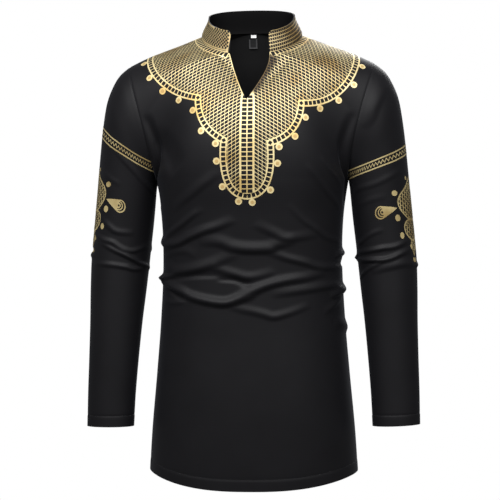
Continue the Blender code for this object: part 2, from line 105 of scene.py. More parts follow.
class Finish:
    """A material: the constants of its shader, and the nodes that feed it."""

    def __init__(self, name, **constants):
        self.material = bpy.data.materials.new(name)
        self.material.use_nodes = True
        self.tree = self.material.node_tree
        self.shader = self.tree.nodes["Principled BSDF"]
        for socket, value in constants.items():
            self.shader.inputs[socket.replace("_", " ")].default_value = value

    def node(self, kind, settings=(), sockets=(), output=0):
        """Add a node: its settings first, then the values or links of its sockets."""
        made = self.tree.nodes.new(kind)
        for setting, value in dict(settings).items():
            setattr(made, setting, value)
        for socket, part in dict(sockets).items():
            plug(made.inputs[socket], part)
        return Value(made.outputs[output])

    def cloth_map(self):
        return self.node("ShaderNodeUVMap", {"uv_map": "cloth"})

    def cloth_place(self):
        """Metres across and up the flat cloth."""
        across = self.node("ShaderNodeSeparateXYZ", {}, {"Vector": self.cloth_map()})
        return across, Value(across.socket.node.outputs[1])

    def ridges(self, direction, pitch):
        """Even ridges on the flat cloth, one after another along a direction."""
        return self.node("ShaderNodeTexWave", {"bands_direction": direction},
                         {"Vector": self.cloth_map(), "Scale": WAVE_TURN / pitch,
                          "Distortion": 0.0})

    def noise(self, scale, detail, roughness):
        place = self.node("ShaderNodeTexCoord", output=3)
        return self.node("ShaderNodeTexNoise", {}, {"Vector": place, "Scale": scale,
                                                    "Detail": detail, "Roughness": roughness})

    def blend(self, share, first, second):
        """Two colours mixed: where the share is 0 the first, where it is 1 the second."""
        first, second = (colour if isinstance(colour, Value) else (*colour, 1.0)
                         for colour in (first, second))
        return self.node("ShaderNodeMix", {"data_type": "RGBA"}, {0: share, 6: first, 7: second},
                         output=2)

    def relief(self, height, strength, distance):
        return self.node("ShaderNodeBump", {}, {"Strength": strength, "Distance": distance,
                                                "Height": height})

    def feed(self, **parts):
        for socket, part in parts.items():
            plug(self.shader.inputs[socket.replace("_", " ")], part)


def satin(name, black, roughness, lit=None, **constants):
    """Satin: knitted columns under a soft unevenness, which lights up the black of its face."""
    finish = Finish(name, Metallic=0.0, Sheen_Roughness=0.40, Sheen_Tint=(*SATIN_SHEEN, 1.0),
                    **constants)
    cloudy = finish.noise(SATIN_CLOUDS, 3.0, 0.55)
    knit = finish.ridges("X", KNIT_COLUMN) * 0.6 + finish.ridges("Y", KNIT_COURSE) * 0.4
    colour = finish.blend(cloudy * 0.6 + knit * 0.4, black, lit) if lit else (*black, 1.0)
    finish.feed(Base_Color=colour,
                Roughness=roughness + cloudy * 0.10 + knit * 0.03,
                Normal=finish.relief(knit, 0.35, KNIT_RELIEF))
    return finish.material


satin_face = satin("satin_face", SATIN_BLACK, 0.45, lit=SATIN_LIT,
                   Sheen_Weight=0.06, Specular_IOR_Level=0.17)
# Inner faces: the body's reverse is lightened as painted light, the collar's is darkened as
# painted shade.
satin_reverse_painted_light = satin("satin_reverse_painted_light", SATIN_REVERSE_PAINTED_LIGHT, 0.70,
                      Sheen_Weight=0.02, Specular_IOR_Level=0.06)
collar_reverse_painted_shade = satin("collar_reverse_painted_shade", COLLAR_REVERSE_PAINTED_SHADE, 0.70,
                       Sheen_Weight=0.02, Specular_IOR_Level=0.06)

# ---------------------------------------------------------------- front and back
# The two body panels are satin, shaped at the waist, sewn to each other at the sides and
# shoulders. The cloth is drawn in above the hips, so both hang there in soft level folds.
SHELL = 0.0011                  # thickness of the cloth
SEAM_SETBACK = 0.00012          # half the line that shows between two sewn pieces
SEAM_SINK = 0.0006              # how far the sewn edges roll in
SEAM_ROLL = 0.0032              # over this much cloth

Level = namedtuple("Level", "height side front back")
BODY_LEVELS = (
    Level(height=-0.800, side=0.1885, front=-0.128, back=0.125),
    Level(height=-0.700, side=0.1825, front=-0.127, back=0.126),
    Level(height=-0.600, side=0.1735, front=-0.124, back=0.119),
    Level(height=-0.500, side=0.1655, front=-0.119, back=0.103),
    Level(height=-0.400, side=0.1610, front=-0.117, back=0.094),
    Level(height=-0.320, side=0.1635, front=-0.122, back=0.097),
    Level(height=-0.254, side=0.1730, front=-0.128, back=0.106),
    Level(height=-0.180, side=0.1900, front=-0.124, back=0.114),
    Level(height=-0.112, side=0.2050, front=-0.105, back=0.110),
    Level(height=-0.030, side=0.2200, front=-0.064, back=0.083),
    Level(height=0.0190, side=0.2200, front=-0.048, back=0.060),
)
SQUARENESS = 2.35
SIDE_SEAM_Y = 0.008
HEM_CENTRE_Z = -0.7965
HEM_SIDE_Z = {1: -0.7735, -1: -0.769}
HEM_ROUNDNESS = 2.6
CHEST_CENTRE_Z = -0.253
FOLD_FLOOR_Z = -0.510
UNDERARM = (0.173, SIDE_SEAM_Y, -0.254)
SHOULDER_TIP = (0.222, 0.010, -0.0455)
SHOULDER_CROWN = 0.0030
CROWN_POWER = 4
ARMHOLE_FRONT = 0.070
ARMHOLE_BACK = 0.069
ARMHOLE_SCOOP = 1.30
NECK_SIDE = (0.091, 0.012, 0.008)
NECK_FRONT_REACH = 0.075
NECK_BACK_REACH = 0.048
NECK_FRONT_DROP = 0.040
NECK_BACK_RISE = 0.011
NECK_DROP_POWER = 1.05
SLIT_TIP_Z = -0.1155
SLIT_POWER = 0.80
SLIT_BULGE = {1: 0.17, -1: 0.02}    # its edges bow outward
SLIT_BULGE_POWER = 1.6
SLIT_HALF_OPENING = {1: 0.037, -1: 0.034}
ARMHOLE_FLATTENING = 0.45
FLATTENING_RISE = 0.40
HEM_DEPTH = 0.020               # the hem and the cuffs are turned in and stitched at this depth
HEM_THICK = 0.00035             # the turned cloth stands this much prouder
HEM_SINK = 0.00045              # how far the row of stitches pulls in
HEM_SINK_WIDTH = 0.0011
HEM_EASE = 0.002                # over this much cloth the turned part ends
BODY_ROW = 0.0350               # metres to a row near the hem
SLEEVE_RING = 0.0600            # metres to a level near the cuff
CUFF_RISE = {1: (0.0070, 0.0035), -1: (0.0020, 0.0020)}     # at its outer and its inner point
CUFF_RISE_POWER = 6
CHEST_FULLNESS = 0.009
BACK_FULLNESS = 0.007

# Rows of the panels are numbered from the hem up. A fine row is a part of a whole one.
FOLD_FLOOR_ROW, UNDERARM_ROW, SLIT_TIP_ROW, NECK_ROW, SHOULDER_ROW = 8, 24, 28, 31, 38
NECK_SHARES = (0.0, 0.06, 0.13, 0.26, 0.45, 0.64, 0.82, 1.0)
FINE_ROWS = ((0, 8, 56), (8, 24, 96), (24, 28, 28), (28, 31, 20), (31, 38, 28))
SHOULDER_SEAM_ROWS = (37.86, 37.93, 37.97)      # more rows beside the seams, where they roll in
HALF_COLUMNS = 68
SIDE_SEAM_SHARES = (0.985, 0.991, 0.996)
STITCH_ROWS = np.array((-0.001, 0.0, 0.001))    # metres from the row of stitches
STEEPEST, LEVELLEST = 3.0, 0.2  # limits to how the lean of the cloth widens its flat map
# The flat map is eased on every so many rows and columns, in so many rounds.
RELAX_ROWS, RELAX_COLUMNS, RELAX_ROUNDS = 2, 3, 60
RELAX_VIEW = math.radians(35.0)

# A crease follows its places, each a turn round the body in degrees (0 centre front, 90 the side
# seam on +X, 180 centre back) and a height. A height of the crease below 0 is a hollow.
Crease = namedtuple("Crease", "width height places")
BODY_CREASES = (
    Crease(0.010, 0.0020, ((-72, -0.362), (-45, -0.338), (-33, -0.3195), (-24, -0.307))),
    Crease(0.012, 0.0054, ((-122, -0.352), (-100, -0.358), (-67, -0.368), (-47, -0.366),
                           (-36, -0.356), (-24, -0.345), (-14, -0.337), (-5, -0.326))),
    Crease(0.015, 0.0050, ((-28, -0.364), (-14, -0.365), (-7, -0.373), (1, -0.3775),
                           (11, -0.3762), (16, -0.369), (28, -0.361))),
    Crease(0.012, 0.0030, ((3, -0.333), (11, -0.346), (17, -0.354), (24, -0.3585), (46, -0.352))),
    Crease(0.010, 0.0034, ((9, -0.381), (22, -0.3935), (36, -0.402), (48, -0.409), (84, -0.411))),
    Crease(0.014, 0.0038, ((-4, -0.384), (-15, -0.399), (-25, -0.408), (-39, -0.415),
                           (-52, -0.4145), (-72, -0.402))),
    Crease(0.012, 0.0062, ((-122, -0.414), (-104, -0.420), (-81, -0.431), (-47, -0.448),
                           (-34, -0.460), (-21, -0.468), (-10, -0.471), (-2, -0.462),
                           (3, -0.4495), (11, -0.439), (22, -0.432), (36, -0.427), (54, -0.418))),
    Crease(0.011, 0.0032, ((-20, -0.407), (-6, -0.420), (1, -0.4265), (14, -0.416))),
    Crease(0.008, -0.0036, ((-16, -0.429), (-5, -0.431), (-1, -0.437), (1, -0.441))),
    Crease(0.010, 0.0030, ((-8, -0.476), (1, -0.4845), (8, -0.491), (13, -0.495), (22, -0.489),
                           (38, -0.475))),
    Crease(0.009, 0.0020, ((22, -0.300), (33, -0.327), (45, -0.344), (55, -0.3565),
                           (80, -0.368))),
    Crease(0.009, -0.0028, ((-70, -0.435), (-48, -0.459), (-36, -0.467))),
    Crease(0.008, 0.0018, ((-72, -0.468), (-50, -0.471), (-36, -0.466))),
    Crease(0.010, 0.0020, ((50, -0.489), (65, -0.474), (84, -0.455))),
    Crease(0.007, 0.0050, ((-118, -0.432), (-104, -0.430), (-81, -0.4275), (-63, -0.4255),
                           (-48, -0.421))),
    Crease(0.010, -0.0032, ((-58, -0.431), (-34, -0.423), (-12, -0.422))),
    Crease(0.012, 0.0032, ((12, -0.456), (36, -0.448), (62, -0.442), (84, -0.450))),
    Crease(0.012, 0.0018, ((-70, -0.388), (-53, -0.382), (-40, -0.380), (-30, -0.389))),
    Crease(0.010, 0.0050, ((66, -0.392), (88, -0.385), (112, -0.381))),
    Crease(0.012, 0.0062, ((58, -0.460), (82, -0.451), (116, -0.446))),
    Crease(0.016, 0.0038, ((62, -0.508), (86, -0.516), (112, -0.522))),
    Crease(0.010, -0.0028, ((66, -0.401), (88, -0.403), (110, -0.404))),
    Crease(0.020, -0.0085, ((-84, -0.140), (-80, -0.190), (-79, -0.240), (-83, -0.300))),
    Crease(0.020, -0.0060, ((84, -0.140), (80, -0.190), (80, -0.240), (84, -0.300))),
    Crease(0.013, -0.0040, ((18, -0.034), (14, -0.048), (10, -0.062), (7, -0.076),
                            (3, -0.094))),
    Crease(0.009, -0.0026, ((-11, -0.026), (-8, -0.037), (-5, -0.049), (-1, -0.064))),
    Crease(0.013, 0.0026, ((-12, -0.243), (-22, -0.263), (-33, -0.283), (-50, -0.306))),
    Crease(0.009, 0.0018, ((-28, -0.3095), (-37, -0.325), (-48, -0.3385), (-66, -0.354))),
    Crease(0.007, 0.0016, ((48, -0.2165), (54, -0.239), (71, -0.271))),
    Crease(0.009, 0.0020, ((34, -0.231), (43, -0.257), (54, -0.281), (73, -0.3065))),
    Crease(0.032, -0.0055, ((-80, -0.180), (-66, -0.202), (-52, -0.222), (-44, -0.242))),
    Crease(0.013, 0.0042, ((96, -0.372), (118, -0.362), (140, -0.351), (172, -0.338))),
    Crease(0.014, 0.0044, ((-96, -0.360), (-120, -0.372), (-145, -0.377), (-174, -0.366))),
    Crease(0.014, 0.0048, ((150, -0.398), (168, -0.407), (182, -0.411), (202, -0.402))),
    Crease(0.014, 0.0050, ((104, -0.440), (126, -0.428), (148, -0.430), (172, -0.443),
                           (188, -0.456))),
    Crease(0.014, 0.0052, ((-92, -0.431), (-118, -0.443), (-146, -0.455), (-166, -0.452),
                           (-188, -0.438))),
    Crease(0.012, 0.0034, ((118, -0.486), (140, -0.478), (165, -0.480), (194, -0.490))),
    Crease(0.011, 0.0026, ((-112, -0.322), (-134, -0.338), (-158, -0.342))),
    Crease(0.011, 0.0026, ((110, -0.316), (134, -0.308), (158, -0.320))),
    Crease(0.010, -0.0028, ((124, -0.393), (142, -0.386), (160, -0.390))),
    Crease(0.010, -0.0028, ((-122, -0.410), (-144, -0.417), (-170, -0.418))),
    Crease(0.010, 0.0026, ((98, -0.404), (120, -0.398), (140, -0.402), (156, -0.412))),
    Crease(0.010, 0.0028, ((-98, -0.396), (-118, -0.392), (-140, -0.402), (-158, -0.414))),
    Crease(0.010, 0.0022, ((-100, -0.474), (-124, -0.484), (-152, -0.482))),
)
BODY_CLOTH_PER_DEGREE = 0.0026
CREASE_BELOW, CREASE_ABOVE = 0.70, 1.25     # how far it reaches on each side, in its widths
CREASE_END_POWER = 0.6


def smooth(value):
    """Ease from 0 to 1 with level ends."""
    value = np.clip(value, 0.0, 1.0)
    return value * value * (3.0 - 2.0 * value)


def curve(keys, values, at):
    """Smooth curve through the values at rising keys, level past both ends."""
    keys, values = np.array(keys, float), np.array(values, float)
    number = np.arange(len(keys))
    after, before = np.minimum(number + 1, len(keys) - 1), np.maximum(number - 1, 0)
    slopes = (values[after] - values[before]) / (keys[after] - keys[before])
    at = np.clip(at, keys[0], keys[-1])
    k = np.clip(np.searchsorted(keys, at, side="right") - 1, 0, len(keys) - 2)
    span = keys[k + 1] - keys[k]
    t = (at - keys[k]) / span
    ends = values[k] * (1.0 + 2.0 * t) * (1.0 - t) ** 2 + values[k + 1] * t * t * (3.0 - 2.0 * t)
    return ends + span * (slopes[k] * t * (1.0 - t) ** 2 - slopes[k + 1] * t * t * (1.0 - t))


def body_level(column, height):
    return curve([level.height for level in BODY_LEVELS],
                 [getattr(level, column) for level in BODY_LEVELS], height)


def points_of(x, y, z):
    return np.stack(np.broadcast_arrays(x, y, z), axis=-1)


def armhole_line(turn, side):
    """Armhole of one side: turn 0 at the shoulder tip, 180 at the underarm, in front if over 0."""
    rise, swing = np.cos(np.radians(turn)), np.sin(np.radians(turn))
    share = (rise + 1.0) / 2.0
    under, tip = np.array(UNDERARM), np.array(SHOULDER_TIP)
    middle = under + (tip - under) * share[..., None]
    across = under[0] + (tip[0] - under[0]) * share ** ARMHOLE_SCOOP
    reach = np.where(swing > 0.0, ARMHOLE_FRONT, ARMHOLE_BACK)
    return points_of(side * across, middle[..., 1] - reach * swing, middle[..., 2])


def neck_front_line(share, side):
    turn = math.acos(SLIT_HALF_OPENING[side] / NECK_SIDE[0]) * (1.0 - share)
    return points_of(side * NECK_SIDE[0] * np.cos(turn),
                     NECK_SIDE[1] - NECK_FRONT_REACH * np.sin(turn),
                     NECK_SIDE[2] - NECK_FRONT_DROP * np.sin(turn) ** NECK_DROP_POWER)


def neck_back_line(share, side):
    turn = math.radians(90.0) * share
    return points_of(side * NECK_SIDE[0] * np.sin(turn),
                     NECK_SIDE[1] + NECK_BACK_REACH * np.cos(turn),
                     NECK_SIDE[2] + NECK_BACK_RISE * np.cos(turn))


def inner_line(rows, side, front):
    """Points along the centre line, then the slit in front, then the neckline."""
    share = np.interp(rows - NECK_ROW, range(len(NECK_SHARES)), NECK_SHARES)
    if not front:
        neck = neck_back_line(share, side)
        keys = (0, FOLD_FLOOR_ROW, UNDERARM_ROW, NECK_ROW)
        heights = np.interp(rows, keys, (HEM_CENTRE_Z, FOLD_FLOOR_Z, CHEST_CENTRE_Z,
                                         neck_back_line(np.array(0.0), side)[2]))
        centre = points_of(0.0, body_level("back", heights), heights)
        return np.where((rows < NECK_ROW)[:, None], centre, neck)
    top = neck_front_line(np.array(0.0), side)
    keys = (0, FOLD_FLOOR_ROW, UNDERARM_ROW, SLIT_TIP_ROW, NECK_ROW)
    heights = np.interp(rows, keys, (HEM_CENTRE_Z, FOLD_FLOOR_Z, CHEST_CENTRE_Z, SLIT_TIP_Z,
                                     top[2]))
    open_share = np.clip((rows - SLIT_TIP_ROW) / (NECK_ROW - SLIT_TIP_ROW), 0.0, 1.0)
    set_back = top[1] - body_level("front", top[2])
    opening = open_share ** SLIT_POWER + SLIT_BULGE[side] * np.sin(
        np.pi * open_share ** SLIT_BULGE_POWER)
    below = points_of(top[0] * opening,
                      body_level("front", heights) + set_back * open_share, heights)
    return np.where((rows < NECK_ROW)[:, None], below, neck_front_line(share, side))


def outer_line(rows, side, front):
    """Points along the side seam, then the armhole."""
    heights = np.interp(rows, (0, FOLD_FLOOR_ROW, UNDERARM_ROW),
                        (HEM_SIDE_Z[side], FOLD_FLOOR_Z, UNDERARM[2]))
    seam = points_of(side * body_level("side", heights), SIDE_SEAM_Y, heights)
    rise = (rows - UNDERARM_ROW) / (SHOULDER_ROW - UNDERARM_ROW)
    turn = 180.0 * (1.0 - rise) * (1.0 if front else -1.0)
    return np.where((rows < UNDERARM_ROW)[:, None], seam, armhole_line(turn, side))


def half_panel(rows, shares, side, front):
    """Grid of points of half a panel, from its inner to its outer edge in each row."""
    inner = inner_line(rows, side, front)[:, None]
    outer = outer_line(rows, side, front)[:, None]
    rise = np.maximum(0.0, (rows - UNDERARM_ROW) / (SHOULDER_ROW - UNDERARM_ROW))[:, None]
    share = shares[None, :]
    straight = smooth(rise)
    last = np.radians(90.0) * (1.0 - ARMHOLE_FLATTENING * smooth(rise / FLATTENING_RISE))
    turn = last * share
    power = 2.0 / SQUARENESS
    across = (np.sin(turn) / np.sin(last)) ** power
    away = 1.0 - np.maximum(0.0, np.cos(turn)) ** power
    away = away / (1.0 - np.maximum(0.0, np.cos(last)) ** power)
    drop = np.where(rows[:, None] < FOLD_FLOOR_ROW, across ** HEM_ROUNDNESS, smooth(away))
    across = across + (share - across) * straight
    away = away + (share - away) * straight
    drop = drop + (away - drop) * straight
    fullness = -CHEST_FULLNESS if front else BACK_FULLNESS
    puff = fullness * np.sin(np.pi * share) * np.sin(np.pi * rise)
    crown = SHOULDER_CROWN * np.sin(np.pi * share * share) * rise ** CROWN_POWER
    span = outer - inner
    return points_of(inner[..., 0] + span[..., 0] * across,
                     inner[..., 1] + span[..., 1] * away + puff,
                     inner[..., 2] + span[..., 2] * drop + crown)


def flat_map(grid, start_across, zero_row, front):
    """Where each point of half a panel lies on the flat cloth: metres across and up.

    Up is measured in planes across the body. Across is measured along level lines in front, and
    square to up on the back, whose shoulders lie too level for that.
    """
    down_rows, down_columns = np.gradient(grid, axis=0), np.gradient(grid, axis=1)
    normal = np.cross(down_columns, down_rows)
    normal /= np.linalg.norm(normal, axis=2)[..., None]
    sideways, lengthways = np.diff(grid, axis=1), np.diff(grid, axis=0)
    if front:
        lean = np.clip(-normal[..., 0] / np.where(normal[..., 1] == 0.0, 1e-9, normal[..., 1]),
                       -STEEPEST, STEEPEST)
        widen = np.sqrt(1.0 + ((lean[:, 1:] + lean[:, :-1]) / 2.0) ** 2)
        middle = (lean[1:] + lean[:-1]) / 2.0
        up = np.hypot(lengthways[..., 2], lengthways[..., 1] - middle * lengthways[..., 0])
        up *= np.sign(lengthways[..., 2] + lengthways[..., 1])
    else:
        level = np.maximum(np.hypot(normal[..., 1], normal[..., 2]), LEVELLEST)
        widen = 2.0 / (level[:, 1:] + level[:, :-1])
        upward = np.stack((-normal[..., 2], normal[..., 1]), axis=-1) / level[..., None]
        up = (lengthways[..., 1:] * (upward[1:] + upward[:-1]) / 2.0).sum(axis=-1)
        up *= np.sign(up[:zero_row, 0].sum() * lengthways[:zero_row, 0, 2].sum())
    across = np.cumsum(np.abs(sideways[..., 0]) * widen, axis=1)
    across = np.concatenate((np.zeros((len(grid), 1)), across), axis=1) + start_across[:, None]
    up = np.concatenate((np.zeros((1, grid.shape[1])), np.cumsum(up, axis=0)))
    up += (grid[zero_row, :, 2] - UNDERARM[2] - up[zero_row])[None]
    return across, up


def relax(grid, across, up, first_row, held, view):
    """Ease the flat places over first_row until the small faces keep their worn shapes.

    Works on some of the rows and columns and spreads what moved over the rest. Places in
    first_row and those that are held stay.
    """
    rows = np.unique(np.append(np.arange(first_row, len(grid), RELAX_ROWS), len(grid) - 1))
    columns = np.unique(np.append(np.arange(0, grid.shape[1], RELAX_COLUMNS), grid.shape[1] - 1))
    worn = grid[np.ix_(rows, columns)].reshape(-1, 3)
    # It starts from the worn places as seen from above the chest, where nothing overlaps.
    seen = np.abs(grid[..., 0]) + 1j * (grid[..., 2] * math.cos(view)
                                        + grid[..., 1] * math.sin(view))
    known = across + 1j * up
    flat = np.where(held, known, seen - seen[first_row, 0] + known[first_row, 0])
    flat[first_row] = known[first_row]
    flat = flat[np.ix_(rows, columns)].ravel()
    number = np.arange(len(worn)).reshape(len(rows), len(columns))
    a, b, c, d = (number[:-1, :-1].ravel(), number[:-1, 1:].ravel(), number[1:, 1:].ravel(),
                  number[1:, :-1].ravel())
    corners = np.concatenate([np.stack(three, axis=1)
                              for three in ((a, b, c), (a, c, d), (a, b, d), (b, c, d))])
    first, second = (worn[corners[:, k]] - worn[corners[:, 0]] for k in (1, 2))
    length = np.linalg.norm(first, axis=1)
    along = (first * second).sum(axis=1) / length
    own = np.stack((np.zeros(len(first)), length,
                    along + 1j * np.linalg.norm(np.cross(first, second), axis=1) / length), axis=1)
    pull = np.zeros((len(worn), len(worn)))
    edges = []
    for k in range(3):
        i, j, over = k, (k + 1) % 3, (k + 2) % 3
        arms = (own[:, i] - own[:, over]) * np.conj(own[:, j] - own[:, over])
        weight = arms.real / np.abs(arms.imag)
        edges.append((corners[:, i], corners[:, j], own[:, i] - own[:, j], weight))
        for one, other, sign in ((i, i, 1), (j, j, 1), (i, j, -1), (j, i, -1)):
            np.add.at(pull, (corners[:, one], corners[:, other]), sign * weight)
    free = ~held[np.ix_(rows, columns)].ravel()
    free[:len(columns)] = False
    solve = np.linalg.inv(pull[np.ix_(free, free)])
    for _ in range(RELAX_ROUNDS):
        turn = sum(weight * (flat[i] - flat[j]) * np.conj(edge) for i, j, edge, weight in edges)
        turn /= np.abs(turn)
        wanted = np.zeros(len(flat), dtype=complex)
        for i, j, edge, weight in edges:
            np.add.at(wanted, i, weight * turn * edge)
            np.add.at(wanted, j, -weight * turn * edge)
        flat[free] = solve @ (wanted[free] - pull[np.ix_(free, ~free)] @ flat[~free])
    moved = flat.reshape(number.shape) - seen[np.ix_(rows, columns)]
    moved = np.stack([np.interp(np.arange(grid.shape[1]), columns, line) for line in moved])
    moved[0] = known[first_row] - seen[first_row]
    moved = np.stack([np.interp(np.arange(len(grid)), rows, line) for line in moved.T], axis=1)
    flat = np.where(np.arange(len(grid))[:, None] > first_row, seen + moved, known)
    return flat.real, flat.imag


def microns(points):
    """Whole micrometres, the same for points that are one."""
    return np.round(points * 1e6).astype(int)


class Cloth:
    """One cut piece as a sheet: welded points, what is known at each point, and faces."""

    def __init__(self, grids, flips, closed=False, **known):
        """grids are arrays of points in rows. known holds arrays for the same points."""
        faces, start = [], 0
        for grid, flip in zip(grids, flips):
            height, width = grid.shape[:2]
            number = start + np.arange(height * width).reshape(height, width)
            if closed:
                number = np.concatenate((number, number[:, :1]), axis=1)
            face = np.stack((number[:-1, :-1], number[:-1, 1:], number[1:, 1:],
                             number[1:, :-1]), axis=-1).reshape(-1, 4)
            faces.append(face[:, ::-1] if flip else face)
            start += height * width
        points = np.concatenate([grid.reshape(-1, 3) for grid in grids])
        _, first, back = np.unique(microns(points), axis=0, return_index=True,
                                   return_inverse=True)
        self.points = points[first]
        self.faces = back.reshape(-1)[np.concatenate(faces)]
        self.outline = None     # of the flat piece, where it isn't the border of the sheet
        self.known = {}
        for word, values in known.items():
            flat = [value.reshape(value.shape[0] * value.shape[1], -1) for value in values]
            self.known[word] = np.concatenate(flat)[first]

    def face_normals(self):
        a, b, c, d = (self.points[self.faces[:, k]] for k in range(4))
        return np.cross(c - a, d - b)

    def border(self):
        """Edges with a face on one side only, each in its face's own direction."""
        ends = np.stack((self.faces, np.roll(self.faces, -1, axis=1)), axis=-1).reshape(-1, 2)
        count = len(self.points)
        keys = ends[:, 0] * count + ends[:, 1]
        return ends[~np.isin(keys, ends[:, 1] * count + ends[:, 0])]


def share_normals(cloths):
    """Unit normals at the points of all cloths, the same where two cloths meet."""
    points = np.concatenate([cloth.points for cloth in cloths])
    _, back = np.unique(microns(points), axis=0, return_inverse=True)
    back = back.reshape(-1)
    totals = np.zeros((back.max() + 1, 3))
    start = 0
    for cloth in cloths:
        for k in range(4):
            np.add.at(totals, back[start + cloth.faces[:, k]], cloth.face_normals())
        start += len(cloth.points)
    normals = totals[back]
    normals /= np.linalg.norm(normals, axis=1)[:, None]
    return np.split(normals, np.cumsum([len(cloth.points) for cloth in cloths])[:-1])


def crease_lift(creases, places, cloth_per_degree):
    """How far creases raise the cloth at its places, each steeper below its crest than above."""
    once_round = 360.0 * cloth_per_degree
    total = np.zeros(len(places))
    for crease in creases:
        count = len(crease.places)
        t = np.linspace(0.0, count - 1.0, 6 * count)
        line = np.stack([curve(range(count), [place[k] for place in crease.places], t)
                         for k in (0, 1)], axis=1) * (cloth_per_degree, 1.0)
        best = np.full(len(places), 1.0)
        best_share, best_side = np.zeros(len(places)), np.zeros(len(places))
        for k, (a, b) in enumerate(zip(line, line[1:])):
            run = b - a
            from_start = (places[:, 0] * cloth_per_degree - a[0] + once_round / 2.0) % once_round
            from_start -= once_round / 2.0
            up = places[:, 1] - a[1]
            share = np.clip((from_start * run[0] + up * run[1]) / run.dot(run), 0.0, 1.0)
            away_x, away_z = from_start - run[0] * share, up - run[1] * share
            distance = np.hypot(away_x, away_z)
            nearer = distance < best
            best = np.where(nearer, distance, best)
            best_share = np.where(nearer, (k + share) / (len(line) - 1), best_share)
            best_side = np.where(nearer, away_z, best_side)
        lean = best_side / np.maximum(best, 1e-9)
        reach = crease.width * (CREASE_BELOW + (CREASE_ABOVE - CREASE_BELOW)
                                * smooth(0.5 + 0.5 * lean))
        crest = np.cos(np.pi / 2.0 * np.minimum(1.0, best / reach)) ** 2
        total += crease.height * crest * np.sin(np.pi * best_share) ** CREASE_END_POWER
    return total


def spread(breaks):
    """Fine rows between whole ones, each break a (first row, last row, count)."""
    parts = [np.linspace(first, last, count, endpoint=False) for first, last, count in breaks]
    return np.append(np.concatenate(parts), breaks[-1][1])


panel_rows = np.union1d(spread(FINE_ROWS), SHOULDER_SEAM_ROWS)
panel_rows = np.union1d(panel_rows, (HEM_DEPTH + STITCH_ROWS) / BODY_ROW)
panel_shares = np.union1d(np.linspace(0.0, 1.0, HALF_COLUMNS), SIDE_SEAM_SHARES)


def make_panel(front):
    grids = [half_panel(panel_rows, panel_shares, side, front) for side in (1, -1)]
    turns = 90.0 * panel_shares if front else 180.0 - 90.0 * panel_shares
    places = [np.stack(np.broadcast_arrays(side * turns, grid[..., 2]), axis=-1)
              for side, grid in zip((1, -1), grids)]
    flips = (False, True) if front else (True, False)
    from_hem = [np.broadcast_to(panel_rows[:, None] * BODY_ROW, grid.shape[:2]) for grid in grids]
    underarm_row = np.searchsorted(panel_rows, UNDERARM_ROW)
    held = (panel_rows[:, None] <= (SLIT_TIP_ROW if front else NECK_ROW)) & (panel_shares == 0.0)
    flat = []
    for side, grid in zip((1, -1), grids):
        across, up = flat_map(grid, np.abs(grid[:, 0, 0]), underarm_row, front)
        across, up = relax(grid, across, up, underarm_row, held,
                           RELAX_VIEW if front else -RELAX_VIEW)
        flat.append(np.stack((side * across, up), axis=-1))
    cloth = Cloth(grids, flips, places=places, from_hem=from_hem, flat=flat)
    cloth.inner_edge = {side: {row: laid[panel_rows >= row, 0] for row in (SLIT_TIP_ROW, NECK_ROW)}
                        for side, laid in zip((1, -1), flat)}
    return cloth


front_cloth, back_cloth = make_panel(True), make_panel(False)

# ---------------------------------------------------------------- sleeves
# Two set-in sleeves, each one piece of satin closed by a seam along the inside of the arm and
# sewn into its armhole. They narrow to the cuffs, and crease at the inside of the elbow.
SleeveLevel = namedtuple("SleeveLevel", "outer_x outer_z inner_x inner_z half_depth middle_y")
SLEEVE_LEVELS = (
    SleeveLevel(0.2220, -0.0455, 0.1730, -0.254, 0.0700, 0.009),
    SleeveLevel(0.2400, -0.061, 0.1738, -0.258, 0.0690, 0.009),
    SleeveLevel(0.2530, -0.082, 0.1746, -0.263, 0.0680, 0.010),
    SleeveLevel(0.2640, -0.111, 0.1755, -0.270, 0.0665, 0.011),
    SleeveLevel(0.2715, -0.155, 0.1766, -0.282, 0.0640, 0.012),
    SleeveLevel(0.2770, -0.205, 0.1782, -0.300, 0.0620, 0.013),
    SleeveLevel(0.2825, -0.265, 0.1812, -0.330, 0.0600, 0.014),
    SleeveLevel(0.2885, -0.330, 0.1858, -0.370, 0.0575, 0.014),
    SleeveLevel(0.2940, -0.390, 0.1900, -0.410, 0.0550, 0.012),
    SleeveLevel(0.2955, -0.445, 0.1945, -0.452, 0.0510, 0.007),
    SleeveLevel(0.2955, -0.505, 0.2005, -0.505, 0.0460, 0.000),
    SleeveLevel(0.2965, -0.570, 0.2065, -0.570, 0.0410, -0.007),
    SleeveLevel(0.2980, -0.635, 0.2115, -0.635, 0.0370, -0.013),
    SleeveLevel(0.2985, -0.695, 0.2145, -0.695, 0.0345, -0.018),
)
ARMHOLE_BLEND = 3.0             # the scoop of the armhole fades out over these levels
FINE_RINGS = (5, 6, 8, 11, 14, 16, 20, 23, 21, 17, 15, 15, 14)
ARMHOLE_SEAM_RINGS = (0.05, 0.1)

